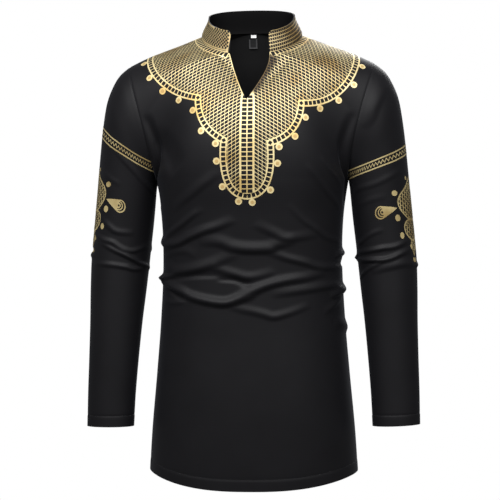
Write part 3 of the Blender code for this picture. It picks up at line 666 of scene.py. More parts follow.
# Turns round a sleeve: 0 its outer line, 90 in front, 180 its inner line.
SLEEVE_CREASES = {
    -1: (
        Crease(0.008, 0.0024, ((46, -0.317), (71, -0.336), (87, -0.345), (120, -0.348))),
        Crease(0.007, 0.0030, ((12, -0.334), (40, -0.351), (61, -0.359), (80, -0.364),
                               (90, -0.370), (105, -0.377), (126, -0.379), (170, -0.364))),
        Crease(0.007, 0.0042, ((50, -0.362), (84, -0.377), (103, -0.385), (126, -0.395),
                               (145, -0.403), (200, -0.412))),
        Crease(0.007, 0.0028, ((36, -0.401), (80, -0.404), (109, -0.408), (132, -0.412),
                               (180, -0.407))),
        Crease(0.008, 0.0014, ((66, -0.196), (105, -0.232), (134, -0.258), (168, -0.278))),
        Crease(0.007, 0.0010, ((30, -0.228), (61, -0.248), (86, -0.261))),
        Crease(0.007, -0.0024, ((-34, -0.372), (0, -0.376), (34, -0.378))),
        Crease(0.008, 0.0024, ((-34, -0.385), (0, -0.386), (40, -0.388))),
        Crease(0.010, 0.0038, ((186, -0.374), (222, -0.380), (262, -0.384), (334, -0.374))),
        Crease(0.010, 0.0036, ((196, -0.402), (232, -0.408), (276, -0.410), (322, -0.398))),
        Crease(0.009, 0.0024, ((212, -0.352), (250, -0.344), (304, -0.352))),
        Crease(0.008, -0.0022, ((205, -0.391), (238, -0.394), (280, -0.390))),
    ),
    1: (
        Crease(0.007, 0.0018, ((162, -0.371), (143, -0.366), (118, -0.353), (90, -0.344))),
        Crease(0.007, 0.0034, ((182, -0.387), (122, -0.381), (94, -0.377), (71, -0.374),
                               (36, -0.361))),
        Crease(0.007, 0.0040, ((206, -0.394), (160, -0.397), (111, -0.398), (87, -0.396),
                               (64, -0.388), (24, -0.373))),
        Crease(0.006, 0.0022, ((172, -0.434), (145, -0.421), (122, -0.410), (92, -0.398))),
        Crease(0.012, 0.0024, ((124, -0.418), (80, -0.408), (48, -0.404), (6, -0.409))),
        Crease(0.008, 0.0013, ((150, -0.277), (132, -0.271), (99, -0.264), (61, -0.248),
                               (38, -0.235))),
        Crease(0.008, 0.0009, ((142, -0.301), (110, -0.292), (78, -0.285))),
        Crease(0.010, 0.0022, ((94, -0.163), (80, -0.147), (74, -0.136), (58, -0.114),
                               (32, -0.084))),
        Crease(0.006, 0.0040, ((162, -0.3915), (185, -0.392), (218, -0.390))),
        Crease(0.007, 0.0024, ((-32, -0.404), (0, -0.406), (26, -0.409))),
        Crease(0.010, 0.0038, ((192, -0.378), (226, -0.386), (266, -0.392), (328, -0.378))),
        Crease(0.010, 0.0036, ((198, -0.410), (236, -0.417), (280, -0.416), (332, -0.404))),
        Crease(0.009, 0.0024, ((206, -0.356), (246, -0.350), (300, -0.360))),
        Crease(0.008, -0.0022, ((208, -0.398), (240, -0.402), (284, -0.398))),
    ),
}
SLEEVE_CLOTH_PER_DEGREE = 0.00095


def ring_points(outer, inner, half_depth, turns, side):
    """Elliptic rings, a row for each, from their outer and inner points as seen in front."""
    cos, sin = np.cos(np.radians(turns)), np.sin(np.radians(turns))
    points = (outer + inner)[:, None] / 2.0 + (outer - inner)[:, None] / 2.0 * cos[:, None]
    return points_of(side * points[..., 0], points[..., 1] - half_depth[:, None] * sin,
                     points[..., 2])


def make_sleeve(side):
    last = len(SLEEVE_LEVELS) - 1
    levels = spread([(k, k + 1, count) for k, count in enumerate(FINE_RINGS)])
    levels = np.union1d(levels, ARMHOLE_SEAM_RINGS)
    levels = np.union1d(levels, last - (HEM_DEPTH + STITCH_ROWS) / SLEEVE_RING)
    rise = (panel_rows[panel_rows >= UNDERARM_ROW] - UNDERARM_ROW) / (SHOULDER_ROW - UNDERARM_ROW)
    turns = 180.0 * (1.0 - rise)[::-1]
    turns = np.concatenate((turns, 360.0 - turns[-2:0:-1]))
    signed = np.where(turns <= 180.0, turns, turns - 360.0)
    keys = range(len(SLEEVE_LEVELS))
    column = {word: curve(keys, [getattr(level, word) for level in SLEEVE_LEVELS], levels)
              for word in SleeveLevel._fields}
    low = (levels / last) ** CUFF_RISE_POWER
    outer = points_of(column["outer_x"], column["middle_y"],
                      column["outer_z"] + CUFF_RISE[side][0] * low)
    inner = points_of(column["inner_x"], column["middle_y"],
                      column["inner_z"] + CUFF_RISE[side][1] * low)
    tip, under = np.array([SHOULDER_TIP]), np.array([UNDERARM])
    plain_ring = ring_points(tip, under, np.array([ARMHOLE_FRONT]), turns, side)[0]
    scoop = armhole_line(signed, side) - plain_ring
    fade = smooth(1.0 - levels / ARMHOLE_BLEND)[:, None, None]
    grid = ring_points(outer, inner, column["half_depth"], turns, side)
    grid[0] = plain_ring
    grid = grid + scoop * fade
    places = np.stack(np.broadcast_arrays(turns, grid[..., 2]), axis=-1)
    ring = np.concatenate((grid, grid[:, :1]), axis=1)
    run = np.cumsum(np.linalg.norm(np.diff(ring, axis=1), axis=2), axis=1)
    across = np.concatenate((np.zeros((len(grid), 1)), run[:, :-1]), axis=1)
    across = np.where(turns > 180.0, across - run[:, -1:], across)
    down = np.linalg.norm(np.diff(grid, axis=0), axis=2)
    down = np.concatenate((np.zeros((1, len(turns))), np.cumsum(down, axis=0)))
    up = down[-1:] - down + grid[-1:, :, 2] - SLEEVE_LEVELS[-1].inner_z
    flat = np.stack((across, up), axis=-1)
    from_hem = np.broadcast_to((last - levels)[:, None] * SLEEVE_RING, grid.shape[:2])
    cloth = Cloth([grid], [side < 0], closed=True, places=[places], from_hem=[from_hem],
                  flat=[flat])
    laid = flat[:, np.argsort(signed)]
    cloth.outline = np.concatenate((laid[-1, :-1], laid[:0:-1, -1], laid[0, :0:-1], laid[:-1, 0]))
    return cloth


sleeve_cloths = {side: make_sleeve(side) for side in (1, -1)}

# ---------------------------------------------------------------- collar
# A low stand collar: two layers of satin over a stiffener, sewn to the neckline. It stands open
# in front, where its corners are rounded.
COLLAR_THICK = 0.0021
COLLAR_ROWS = 14
COLLAR_BACK_HEIGHT = 0.041
COLLAR_SIDE_HEIGHT = 0.037
COLLAR_FRONT_HEIGHT = {1: 0.0375, -1: 0.0390}
COLLAR_SIDE_LEAN = 0.013
COLLAR_FRONT_LEAN = 0.004
COLLAR_BACK_LEAN = 0.006
COLLAR_CORNER_RADIUS = {1: 0.006, -1: 0.007}


def make_collar():
    """Columns along the neckline of each side, from the slit round to the centre back."""
    shares = np.interp(panel_rows[panel_rows >= NECK_ROW] - NECK_ROW, range(len(NECK_SHARES)),
                       NECK_SHARES)
    ups = np.linspace(0.0, 1.0, COLLAR_ROWS + 1)[:, None]
    grids, around, heights = [], [], []
    for side in (1, -1):
        base = np.concatenate((neck_front_line(shares, side),
                               neck_back_line(shares[::-1], side)[1:]))
        end = base[0]
        toward_front = np.maximum(0.0, (NECK_SIDE[1] - base[:, 1]) / (NECK_SIDE[1] - end[1]))
        toward_back = np.maximum(0.0, (base[:, 1] - NECK_SIDE[1]) / NECK_BACK_REACH)
        to_front, to_back = smooth(toward_front), smooth(toward_back)
        to_sides = 1.0 - to_front - to_back
        height = (COLLAR_SIDE_HEIGHT * to_sides + COLLAR_FRONT_HEIGHT[side] * to_front
                  + COLLAR_BACK_HEIGHT * to_back)
        from_end = np.linalg.norm(base - end, axis=1)
        corner = COLLAR_CORNER_RADIUS[side]
        short = np.maximum(0.0, corner - from_end)
        height -= corner - np.sqrt(corner ** 2 - short ** 2)
        inward = points_of(0.0, NECK_SIDE[1], base[:, 2]) - base
        inward /= np.linalg.norm(inward, axis=1)[:, None]
        lean = (COLLAR_SIDE_LEAN * to_sides + COLLAR_FRONT_LEAN * to_front
                + COLLAR_BACK_LEAN * to_back)
        grids.append(base[None] + (inward * lean[:, None])[None] * smooth(ups)[..., None]
                     + points_of(0.0, 0.0, height * ups))
        run = np.cumsum(np.append(0.0, np.linalg.norm(np.diff(base, axis=0), axis=1)))
        around.append(np.broadcast_to(side * (run[-1] - run), grids[-1].shape[:2]))
        heights.append(height * ups)
    flat = [np.stack(pair, axis=-1) for pair in zip(around, heights)]
    cloth = Cloth(grids, (False, True), flat=flat)
    cloth.rims = {side: laid[-1] for side, laid in zip((1, -1), flat)}
    return cloth


collar_cloth = make_collar()

# ---------------------------------------------------------------- folds, seams and walls
# The pieces are cut, then sewn with a narrow seam whose edges roll inward, so each seam shows
# as a fine soft line.
cloths = {"front": front_cloth, "back": back_cloth, "sleeve_left": sleeve_cloths[1],
          "sleeve_right": sleeve_cloths[-1], "collar": collar_cloth}
flat_normals = dict(zip(cloths, share_normals(list(cloths.values()))))
creases = {"front": (BODY_CREASES, BODY_CLOTH_PER_DEGREE),
           "back": (BODY_CREASES, BODY_CLOTH_PER_DEGREE),
           "sleeve_left": (SLEEVE_CREASES[1], SLEEVE_CLOTH_PER_DEGREE),
           "sleeve_right": (SLEEVE_CREASES[-1], SLEEVE_CLOTH_PER_DEGREE)}
CREASE_FADE = 0.014             # creases run out this far from the armholes and the neckline
SHARP_EDGE = math.radians(55.0)     # cut edges that turn more than this stay crisp


def point_keys(cloth):
    return [tuple(key) for key in microns(cloth.points)]


def distances(points, targets):
    """How far each point is from the nearest target."""
    tree = KDTree(len(targets))
    for k, target in enumerate(targets):
        tree.insert(target, k)
    tree.balance()
    return np.array([tree.find(point)[2] for point in points])


unfolded_keys = {word: point_keys(cloth) for word, cloth in cloths.items()}
for word, (table, cloth_per_degree) in creases.items():
    # Side and shoulder seams are no bar to a crease. Armholes and the neckline are.
    apart = (("front", "back") if word.startswith("sleeve")
             else ("sleeve_left", "sleeve_right", "collar"))
    others = {key for other in apart for key in unfolded_keys[other]}
    points = cloths[word].points
    seams = [point for point, key in zip(points, unfolded_keys[word]) if key in others]
    lift = crease_lift(table, cloths[word].known["places"], cloth_per_degree)
    lift *= smooth(distances(points, seams) / CREASE_FADE)
    from_hem = cloths[word].known["from_hem"][:, 0]
    lift += HEM_THICK * smooth(0.5 + (HEM_DEPTH - from_hem) / HEM_EASE)
    lift -= HEM_SINK * np.exp(-((from_hem - HEM_DEPTH) / HEM_SINK_WIDTH) ** 2)
    cloths[word].points = points + flat_normals[word] * lift[:, None]


def sew(cloths):
    """Set every seam edge back by half the line that shows, and roll the cloth beside it in."""
    normals = share_normals(cloths)
    keys = [point_keys(cloth) for cloth in cloths]
    owners = {}
    for number, cloth in enumerate(cloths):
        for a, b in cloth.border():
            owners.setdefault(frozenset((keys[number][a], keys[number][b])), set()).add(number)
    for number, (cloth, normal) in enumerate(zip(cloths, normals)):
        seam = [(a, b) for a, b in cloth.border()
                if len(owners[frozenset((keys[number][a], keys[number][b]))]) > 1]
        inward = np.zeros((len(cloth.points), 3))
        for a, b in seam:
            across = np.cross(normal[a] + normal[b], cloth.points[b] - cloth.points[a])
            across /= np.linalg.norm(across)
            inward[a] += across
            inward[b] += across
        length = np.linalg.norm(inward, axis=1)
        on_seam = np.flatnonzero(length > 0.0)
        away = distances(cloth.points, cloth.points[on_seam])
        sink = SEAM_SINK * (1.0 - smooth(away / SEAM_ROLL))
        cloth.points = cloth.points - normal * sink[:, None]
        cloth.setback = np.zeros_like(cloth.points)
        cloth.setback[on_seam] = (inward[on_seam] / length[on_seam, None]) * SEAM_SETBACK
        cloth.points += cloth.setback
    return normals


def lay_cloth_map(mesh, flat):
    """Keep the place of each point on the flat cloth as the UV map of a mesh."""
    corners = np.empty(len(mesh.loops), dtype=np.int32)
    mesh.loops.foreach_get("vertex_index", corners)
    mesh.uv_layers.new(name="cloth").data.foreach_set("uv", flat[corners].astype(float).ravel())


def add_piece(name, mesh):
    piece = bpy.data.objects.new(name, mesh)
    bpy.context.scene.collection.objects.link(piece)
    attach(piece, "root")
    return piece


def make_wall(name, cloth, normals, thickness):
    """Give a sheet its inner face and its edges, and its flat cloth map."""
    count = len(cloth.points)
    edges = np.array(cloth.border())
    rim = np.stack((edges[:, 1], edges[:, 0], edges[:, 0] + count, edges[:, 1] + count), axis=1)
    faces = np.concatenate((cloth.faces, cloth.faces[:, ::-1] + count, rim))
    inside = cloth.points - cloth.setback - normals * thickness
    points = np.concatenate((cloth.points, inside))
    mesh = bpy.data.meshes.new(name)
    mesh.from_pydata(points.tolist(), [], faces.tolist())
    mesh.materials.append(satin_face)
    # the inner face: painted shade inside the collar, painted light inside the other pieces
    mesh.materials.append(collar_reverse_painted_shade if name.startswith("collar") else satin_reverse_painted_light)
    sides = np.zeros(len(faces), dtype=np.int32)
    sides[len(cloth.faces):2 * len(cloth.faces)] = 1
    mesh.polygons.foreach_set("material_index", sides)
    lay_cloth_map(mesh, np.tile(cloth.known["flat"], (2, 1)))
    mesh.shade_smooth()
    mesh.set_sharp_from_angle(angle=SHARP_EDGE)
    return add_piece(name, mesh)


shared = dict(zip(cloths, sew(list(cloths.values()))))
shown = {}
for word, cloth in cloths.items():
    thickness = COLLAR_THICK if word == "collar" else SHELL
    shown[word] = make_wall(word + "_cloth", cloth, shared[word], thickness)
    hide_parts(word)
    "collar_cloth" if word == "collar" else "shirt_cloth"

# ---------------------------------------------------------------- foil print of the yoke
# After sewing, a yoke is printed on the shirt in gold foil: scalloped edges with a ladder border
# and hanging discs, a net of slanting holes inside them, and two columns of squares down the
# middle. It goes over the shoulders to the back.
FOIL_HEIGHT = 0.00028           # keeps the foil clear of the cloth below it
FOIL_SETBACK = 0.0008           # and stops this far from the neck seam
FOIL_STEP = 0.0036              # longest edge of the foil's mesh along a shape
FOIL_FILL = 0.0046              # and inside it
FOIL_RELIEF = 0.00005
WIDEST_FACE = 0.05              # wider faces on a flat map only close a sleeve at its seam
FOIL_CLOUDS = 17.0              # scale of its soft and of its fine unevenness
FOIL_GRAIN = 900.0
OUTER_LINE = 0.0027
LADDER_HOLE = 0.0073            # across the border
LADDER_LENGTH = 0.0062          # along the border
LADDER_PITCH = 0.0079
INNER_LINE = 0.0023
BORDER = OUTER_LINE + LADDER_HOLE + INNER_LINE
CORNER_HOLE = 0.0058
CORNER_STRETCH = 1.05           # the border has a square hole at corners sharper than this
DISC_RADIUS = 0.0061
DISC_HEART = 0.0030
DISC_OVERLAP = 0.0004           # a disc runs this far into the outer line
YOKE_MIDDLE = 0.0020            # the print sits this far off the centre line
YOKE_TOP = 0.33                 # past the shoulder seam
YOKE_TOP_SPREAD = 0.03          # wider to each side than the scallops' ends
SQUARE_WIDTH = 0.0086
SQUARE_HEIGHT = 0.0063
SQUARE_PITCH = 0.0080
SQUARES_APART = 0.0106
SQUARES_FOOT = -0.0222          # up to the lowest pair
SQUARES = 22
COLUMN_BAND = 0.0122            # half the band that holds the two columns
COLUMN_REACH = (-0.060, 0.154)
NET_REACH = 0.23                # to each side
NET_GAP = 0.0006                # between the columns' band and the net
FRONT_NET = (-0.04, 0.30)       # from its foot to its top
BACK_NET = (0.08, 0.32)
NET_PITCH = 0.0067              # between columns of holes
NET_RISE = 0.00656              # between holes in a column
NET_STEP = 0.00424              # each column is higher than the last, toward the middle
NET_HOLE = (0.0060, 0.0053)
NECK_LINE = 0.0010
NECK_HOLE = 0.0100
NECK_LENGTH = 0.0057
NECK_PITCH = 0.0076
NECK_BAND = 0.0124
NECK_LADDER_END = 0.0008
PAST_EDGE = 0.004               # shapes at an edge run this far past it, to be cut off there
SLIT_MARGIN = {1: 0.0011, -1: 0.0016}

# One scallop runs from its start past its bend to its end, in metres across and up the flat
# cloth, with discs at shares of its length.
Scallop = namedtuple("Scallop", "start_x start_y bend_x bend_y end_x end_y discs")
FRONT_SCALLOPS = (
    Scallop(-0.2150, 0.2640, -0.1888, 0.1569, -0.0950, 0.1380, (0.179, 0.42, 0.624, 0.827)),
    Scallop(-0.0950, 0.1380, -0.0904, 0.0875, -0.0445, 0.0623, (0.17, 0.59, 0.94)),
    Scallop(-0.0445, 0.0623, -0.0516, -0.0340, 0.0020, -0.0370, (0.26, 0.61, 0.89)),
    Scallop(0.0020, -0.0370, 0.0554, -0.0346, 0.0485, 0.0563, (0.065, 0.36, 0.74)),
    Scallop(0.0485, 0.0563, 0.0965, 0.0729, 0.1037, 0.1252, (0.075, 0.41, 0.81)),
    Scallop(0.1037, 0.1252, 0.1993, 0.1290, 0.2200, 0.2610, (0.146, 0.335, 0.535, 0.766)),
)
BACK_SCALLOPS = (
    Scallop(-0.2060, 0.2628, -0.198, 0.178, -0.112, 0.168, (0.17, 0.40, 0.62, 0.84)),
    Scallop(-0.112, 0.168, -0.100, 0.118, 0.000, 0.106, (0.12, 0.32, 0.54, 0.76, 0.97)),
    Scallop(0.000, 0.106, 0.100, 0.118, 0.112, 0.168, (0.24, 0.46, 0.68, 0.88)),
    Scallop(0.112, 0.168, 0.203, 0.176, 0.2127, 0.2598, (0.14, 0.36, 0.58, 0.82)),
)
SLIT_FOLD_SHADE_LINE = ((0.017, 0.160), (0.050, 0.224))    # where painted shade runs along the slit's folded edge, on flat cloth
SLIT_FOLD_SHADE_REACH = 0.013
SLIT_FOLD_SHADE_TAPER = 0.006         # how much narrower its shade is at the top
# colour of the painted shade along the slit's folded edge
FOLD_SHADE = (0.085, 0.045, 0.010)
GOLD_PALE = (0.90, 0.76, 0.41)
GOLD_DEEP = (0.68, 0.46, 0.15)
HEART_PALE = (0.66, 0.46, 0.19)
HEART_DEEP = (0.52, 0.32, 0.11)


def gold_foil(name, pale, deep, roughness, painted_fold_shade=False):
    """Gold transfer foil: pale, deeper in random clouds, and darkened by painted shade along the
    slit's folded edge if asked.
    """
    finish = Finish(name, Specular_IOR_Level=0.5)
    clouds = finish.noise(FOIL_CLOUDS, 3.0, 0.6)
    grain = finish.noise(FOIL_GRAIN, 2.0, 0.6)
    depth = finish.node("ShaderNodeMapRange", {"interpolation_type": "SMOOTHSTEP"},
                        {"Value": clouds, "From Min": 0.42, "From Max": 0.70})
    gold = finish.blend(depth * 0.8 + grain * 0.2, pale, deep)
    if painted_fold_shade:
        # Painted shade: the gold darkens toward the fold's brown near the slit's folded edge,
        # narrower at its top.
        (start_x, start_y), (end_x, end_y) = SLIT_FOLD_SHADE_LINE
        run = math.dist(*SLIT_FOLD_SHADE_LINE)
        along_x, along_y = (end_x - start_x) / run, (end_y - start_y) / run
        across, up = finish.cloth_place()
        across, up = across - start_x, up - start_y
        passed = across * along_x + up * along_y
        off = across * along_y - up * along_x
        share = finish.node("ShaderNodeClamp", {}, {"Value": passed * (1.0 / run)})
        beyond = passed - share * run
        away = finish.node("ShaderNodeMath", {"operation": "SQRT"},
                           {0: off * off + beyond * beyond})
        near = finish.node("ShaderNodeMapRange", {"interpolation_type": "SMOOTHSTEP"},
                           {"Value": away + grain * 0.002 - share * SLIT_FOLD_SHADE_TAPER,
                            "From Min": SLIT_FOLD_SHADE_REACH, "From Max": 0.0015})
        gold = finish.blend(near * 0.92, gold, FOLD_SHADE)
    finish.feed(Base_Color=gold,
                Metallic=0.25 + depth * 0.15,
                Roughness=roughness + grain * 0.14,
                Normal=finish.relief(grain, 0.25, FOIL_RELIEF))
    return finish.material


class FlatCloth:
    """A sewn piece laid flat, to find the place on the worn cloth for a point of a pattern."""

    def __init__(self, cloth, normals):
        triangles = np.concatenate((cloth.faces[:, :3], cloth.faces[:, [0, 2, 3]]))
        self.flat = cloth.known["flat"]
        self.triangles = triangles[np.ptp(self.flat[triangles][..., 0], axis=1) < WIDEST_FACE]
        self.points, self.normals, self.cloth = cloth.points, normals, cloth
        self.tree = BVHTree.FromPolygons([(x, y, 0.0) for x, y in self.flat.tolist()],
                                         self.triangles.tolist())

    def lift(self, places, height):
        """Points and normals on the worn cloth for places on the flat one."""
        points, normals = np.empty((len(places), 3)), np.empty((len(places), 3))
        for number, (x, y) in enumerate(places):
            hit, _, k, _ = self.tree.find_nearest(Vector((x, y, 0.0)))
            corners = self.triangles[k]
            flat = [Vector((*self.flat[corner], 0.0)) for corner in corners]
            shares = np.array(poly_3d_calc(flat, hit))
            normals[number] = shares @ self.normals[corners]
            points[number] = shares @ self.points[corners]
        normals /= np.linalg.norm(normals, axis=1)[:, None]
        return points + normals * height, normals

    def edge(self):
        """The outline of the flat piece."""
        if self.cloth.outline is not None:
            return self.cloth.outline
        after = dict(self.cloth.border().tolist())
        loop = [next(iter(after))]
        while after[loop[-1]] != loop[0]:
            loop.append(after[loop[-1]])
        return self.flat[loop]


def bow(start_x, start_y, bend_x, bend_y, end_x, end_y, count):
    t = np.linspace(0.0, 1.0, count)[:, None]
    return (np.array((start_x, start_y)) * (1.0 - t) ** 2
            + np.array((bend_x, bend_y)) * 2.0 * t * (1.0 - t) + np.array((end_x, end_y)) * t * t)


def lefts(line):
    """Unit vectors to the left of each point of a line, longer at its corners."""
    along = np.diff(line, axis=0)
    along /= np.linalg.norm(along, axis=1)[:, None]
    left = np.stack((-along[:, 1], along[:, 0]), axis=1)
    before, after = np.concatenate((left[:1], left)), np.concatenate((left, left[-1:]))
    return (before + after) / np.maximum(0.3, 1.0 + (before * after).sum(axis=1))[:, None]


def band(line, near, far):
    """The strip between two distances to the left of a line."""
    return np.concatenate((line + lefts(line) * near, (line + lefts(line) * far)[::-1]))


def runs(line):
    return np.append(0.0, np.cumsum(np.linalg.norm(np.diff(line, axis=0), axis=1)))


def at_run(line, run):
    """Place and direction on a line at a distance along it."""
    all_runs = runs(line)
    place = np.array([np.interp(run, all_runs, line[:, k]) for k in (0, 1)])
    k = min(np.searchsorted(all_runs, run, side="right"), len(line) - 1)
    along = line[k] - line[k - 1]
    return place, along / np.linalg.norm(along)


def box(place, along, length, width, slant=0.0):
    """A rectangle round a place, its length along a direction and its sides slanted along it."""
    side = np.array((-along[1], along[0]))
    return np.array([place + along * (length * a + slant * b) / 2.0 + side * width * b / 2.0
                     for a, b in ((-1, -1), (1, -1), (1, 1), (-1, 1))])


def rungs(line, away, hole, length, pitch, near=0.0, far=0.0, slant=0.0):
    """Holes of a ladder evenly spaced along a line, away to its left."""
    middle = line + lefts(line) * away
    total = runs(middle)[-1] - near - far
    count = max(1, round(total / pitch))
    return [box(*at_run(middle, near + total * (k + 0.5) / count), length, hole, slant)
            for k in range(count)]


def round_dot(place, radius, count=20):
    turns = np.linspace(0.0, 2.0 * np.pi, count, endpoint=False)
    return np.array(place) + radius * np.stack((np.cos(turns), np.sin(turns)), axis=1)


def net_holes(low, high, middle, first):
    """Slanting holes in columns to both sides of the middle, higher toward it."""
    holes = []
    wide, tall = NET_HOLE[0] / 2.0, NET_HOLE[1] / 2.0
    slant = wide * NET_STEP / NET_PITCH
    for sign in (1, -1):
        for k in range(int(NET_REACH / NET_PITCH) + 1):
            x = middle + sign * (first + NET_PITCH * (k + 0.5))
            shift = (-NET_STEP * k) % NET_RISE
            for n in range(int((high - low) / NET_RISE) + 1):
                y = low + shift + NET_RISE * n
                holes.append(np.array([(x + a * wide, y + b * tall - a * sign * slant)
                                       for a, b in ((-1, -1), (1, -1), (1, 1), (-1, 1))]))
    return holes


def finely(shape):
    """The same shape with no edge longer than the foil's step."""
    after = np.roll(shape, -1, axis=0)
    parts = []
    for start, end in zip(shape, after):
        count = max(1, math.ceil(np.linalg.norm(end - start) / FOIL_STEP))
        parts.append(start + (end - start) * (np.arange(count) / count)[:, None])
    return np.concatenate(parts)


def lay_foil(name, flat_cloth, material, gold, holes=(), net=(), ground=(), plain=(),
             height=FOIL_HEIGHT):
    """Print gold on a piece, less its holes, and less its net on the ground but not the plain."""
    low = np.min([shape.min(axis=0) for shape in gold], axis=0)
    high = np.max([shape.max(axis=0) for shape in gold], axis=0)
    points = [(x, y) for x in np.arange(low[0], high[0], FOIL_FILL)
              for y in np.arange(low[1], high[1], FOIL_FILL)]
    faces, kinds = [], []
    for kind, group in (("edge", [flat_cloth.edge()]), ("gold", gold), ("hole", holes),
                        ("net", net), ("ground", ground), ("plain", plain)):
        for shape in group:
            shape = finely(shape)
            x, y = shape[:, 0], shape[:, 1]
            turning = (x * np.roll(y, -1) - np.roll(x, -1) * y).sum()
            faces.append(list(range(len(points), len(points) + len(shape))))
            points += (shape if turning > 0.0 else shape[::-1]).tolist()
            kinds.append(kind)
    flat, _, triangles, _, _, origins = delaunay_2d_cdt(
        [Vector(point) for point in points], [], faces, 1, 1e-7, True)
    kept = []
    for triangle, origin in zip(triangles, origins):
        on = {kinds[k] for k in origin}
        netted = {"net", "ground"} <= on and "plain" not in on
        if {"edge", "gold"} <= on and "hole" not in on and not netted:
            kept.append(triangle)
    used, kept = np.unique(np.array(kept), return_inverse=True)
    kept = kept.reshape(-1, 3)
    flat = np.array([tuple(flat[k]) for k in used])
    worn, normals = flat_cloth.lift(flat, height)
    a, b, c = (worn[kept[:, k]] for k in range(3))
    if (np.cross(b - a, c - a) * normals[kept[:, 0]]).sum() < 0.0:
        kept = kept[:, ::-1]
    mesh = bpy.data.meshes.new(name)
    mesh.from_pydata(worn.tolist(), [], kept.tolist())
    mesh.materials.append(material)
    mesh.shade_smooth()
    lay_cloth_map(mesh, flat)
    mesh.normals_split_custom_set_from_vertices(normals.tolist())
    return add_piece(name, mesh)


def yoke_shapes(scallops, edges, slit_sides):
    """The gold, holes, net ground and plain places of a yoke with these scallops, and its discs.

    edges are the inner edges of the panel's halves, from the slit's tip and from the neck.
    """
    arcs = [bow(*scallop[:6], count=36) for scallop in scallops]
    outline = np.concatenate([arcs[0]] + [arc[1:] for arc in arcs[1:]])
    roof = np.array(((outline[-1][0] + YOKE_TOP_SPREAD, YOKE_TOP),
                     (outline[0][0] - YOKE_TOP_SPREAD, YOKE_TOP)))
    gold = [np.concatenate((outline, roof))]
    inner = outline + lefts(outline) * BORDER
    ground = [np.concatenate((inner, roof))]
    away = OUTER_LINE + LADDER_HOLE / 2.0
    holes, hearts = [], []
    for arc in arcs:
        holes += rungs(arc, away, LADDER_HOLE, LADDER_LENGTH, LADDER_PITCH)
    for arc in arcs[1:]:
        k = int(np.argmin(np.linalg.norm(outline - arc[0], axis=1)))
        corner = lefts(outline)[k]
        if np.linalg.norm(corner) > CORNER_STRETCH:
            along = np.array((corner[1], -corner[0])) / np.linalg.norm(corner)
            holes.append(box(outline[k] + corner * away, along, CORNER_HOLE, CORNER_HOLE))
    for scallop, arc in zip(scallops, arcs):
        for share in scallop.discs:
            place, along = at_run(arc, share * runs(arc)[-1])
            place = place + np.array((along[1], -along[0])) * (DISC_RADIUS - DISC_OVERLAP)
            gold.append(round_dot(place, DISC_RADIUS))
            hearts.append(round_dot(place, DISC_HEART, 14))
    plain = []
    for side in (1, -1):
        line = edges[side][NECK_ROW][::-side]
        holes += rungs(line, NECK_LINE + NECK_HOLE / 2.0, NECK_HOLE, NECK_LENGTH,
                       NECK_PITCH, near=NECK_LADDER_END, far=NECK_LADDER_END)
        holes.append(band(line, -PAST_EDGE, FOIL_SETBACK))
        plain.append(band(line, -PAST_EDGE, NECK_BAND))
    for side in slit_sides:
        plain.append(band(edges[side][SLIT_TIP_ROW][::-side], -PAST_EDGE, SLIT_MARGIN[side]))
    return gold, holes, ground, plain, hearts


yoke_gold = gold_foil("yoke_foil", GOLD_PALE, GOLD_DEEP, 0.36)
# The front's yoke foil has painted shade along the slit's folded edge.
gold_with_painted_fold_shade = gold_foil("yoke_foil_painted_fold_shade", GOLD_PALE, GOLD_DEEP, 0.36, painted_fold_shade=True)
flat_front = FlatCloth(front_cloth, shared["front"])
gold, holes, ground, plain, hearts = yoke_shapes(FRONT_SCALLOPS, front_cloth.inner_edge, (1, -1))
left, right = YOKE_MIDDLE - COLUMN_BAND, YOKE_MIDDLE + COLUMN_BAND
foot, top = COLUMN_REACH
plain.append(np.array(((left, foot), (right, foot), (right, top), (left, top))))
for k in range(SQUARES):
    for sign in (1, -1):
        place = (YOKE_MIDDLE + sign * SQUARES_APART / 2.0, SQUARES_FOOT + SQUARE_PITCH * k)
        holes.append(box(np.array(place), np.array((1.0, 0.0)), SQUARE_WIDTH, SQUARE_HEIGHT))
net = net_holes(*FRONT_NET, YOKE_MIDDLE, COLUMN_BAND + NET_GAP)
front_yoke = lay_foil("front_yoke_print", flat_front, gold_with_painted_fold_shade, gold, holes, net, ground, plain)
heart_gold = gold_foil("disc_foil", HEART_PALE, HEART_DEEP, 0.36)
front_hearts = lay_foil("front_disc_hearts", flat_front, heart_gold, hearts,
                        height=2.0 * FOIL_HEIGHT)

flat_back = FlatCloth(back_cloth, shared["back"])
gold, holes, ground, plain, hearts = yoke_shapes(BACK_SCALLOPS, back_cloth.inner_edge, ())
net = net_holes(*BACK_NET, 0.0, 0.0)
back_yoke = lay_foil("back_yoke_print", flat_back, yoke_gold, gold, holes, net, ground, plain)
back_hearts = lay_foil("back_disc_hearts", flat_back, heart_gold, hearts,
                       height=2.0 * FOIL_HEIGHT)

# ---------------------------------------------------------------- foil print of the collar
# The stand is foiled all over. The wearer's right front has a checked lattice above two lines
# that follow the seam. The rest has lines parallel with its edges and slanting cells between.
COLLAR_LINES = 6
COLLAR_CELL = 0.0038            # along the line
COLLAR_CELL_PITCH = 0.0044
COLLAR_CELL_SLANT = 0.0012
COLLAR_LINE = 0.0014            # how wide a line is
LINES_PAST_END = 0.002          # the lines run on past the open end
LINES_SHORT = 0.001             # and stop short of the lattice
LATTICE_PITCH = 0.0064
LATTICE_RISE = 0.0032
LATTICE_CELL = 0.0038
LATTICE_END = 0.128             # along the seam from the centre back, where the lattice stops
LATTICE_FLOOR = 0.0080
LATTICE_MARGIN = 0.0018
LATTICE_ROWS = 12
SEAM_SLITS = (0.0024, 0.0056)   # the two fine gaps above the seam, and how wide they are
SEAM_SLIT = 0.0011
COLLAR_PALE = (0.72, 0.57, 0.29)
COLLAR_DEEP = (0.40, 0.26, 0.09)


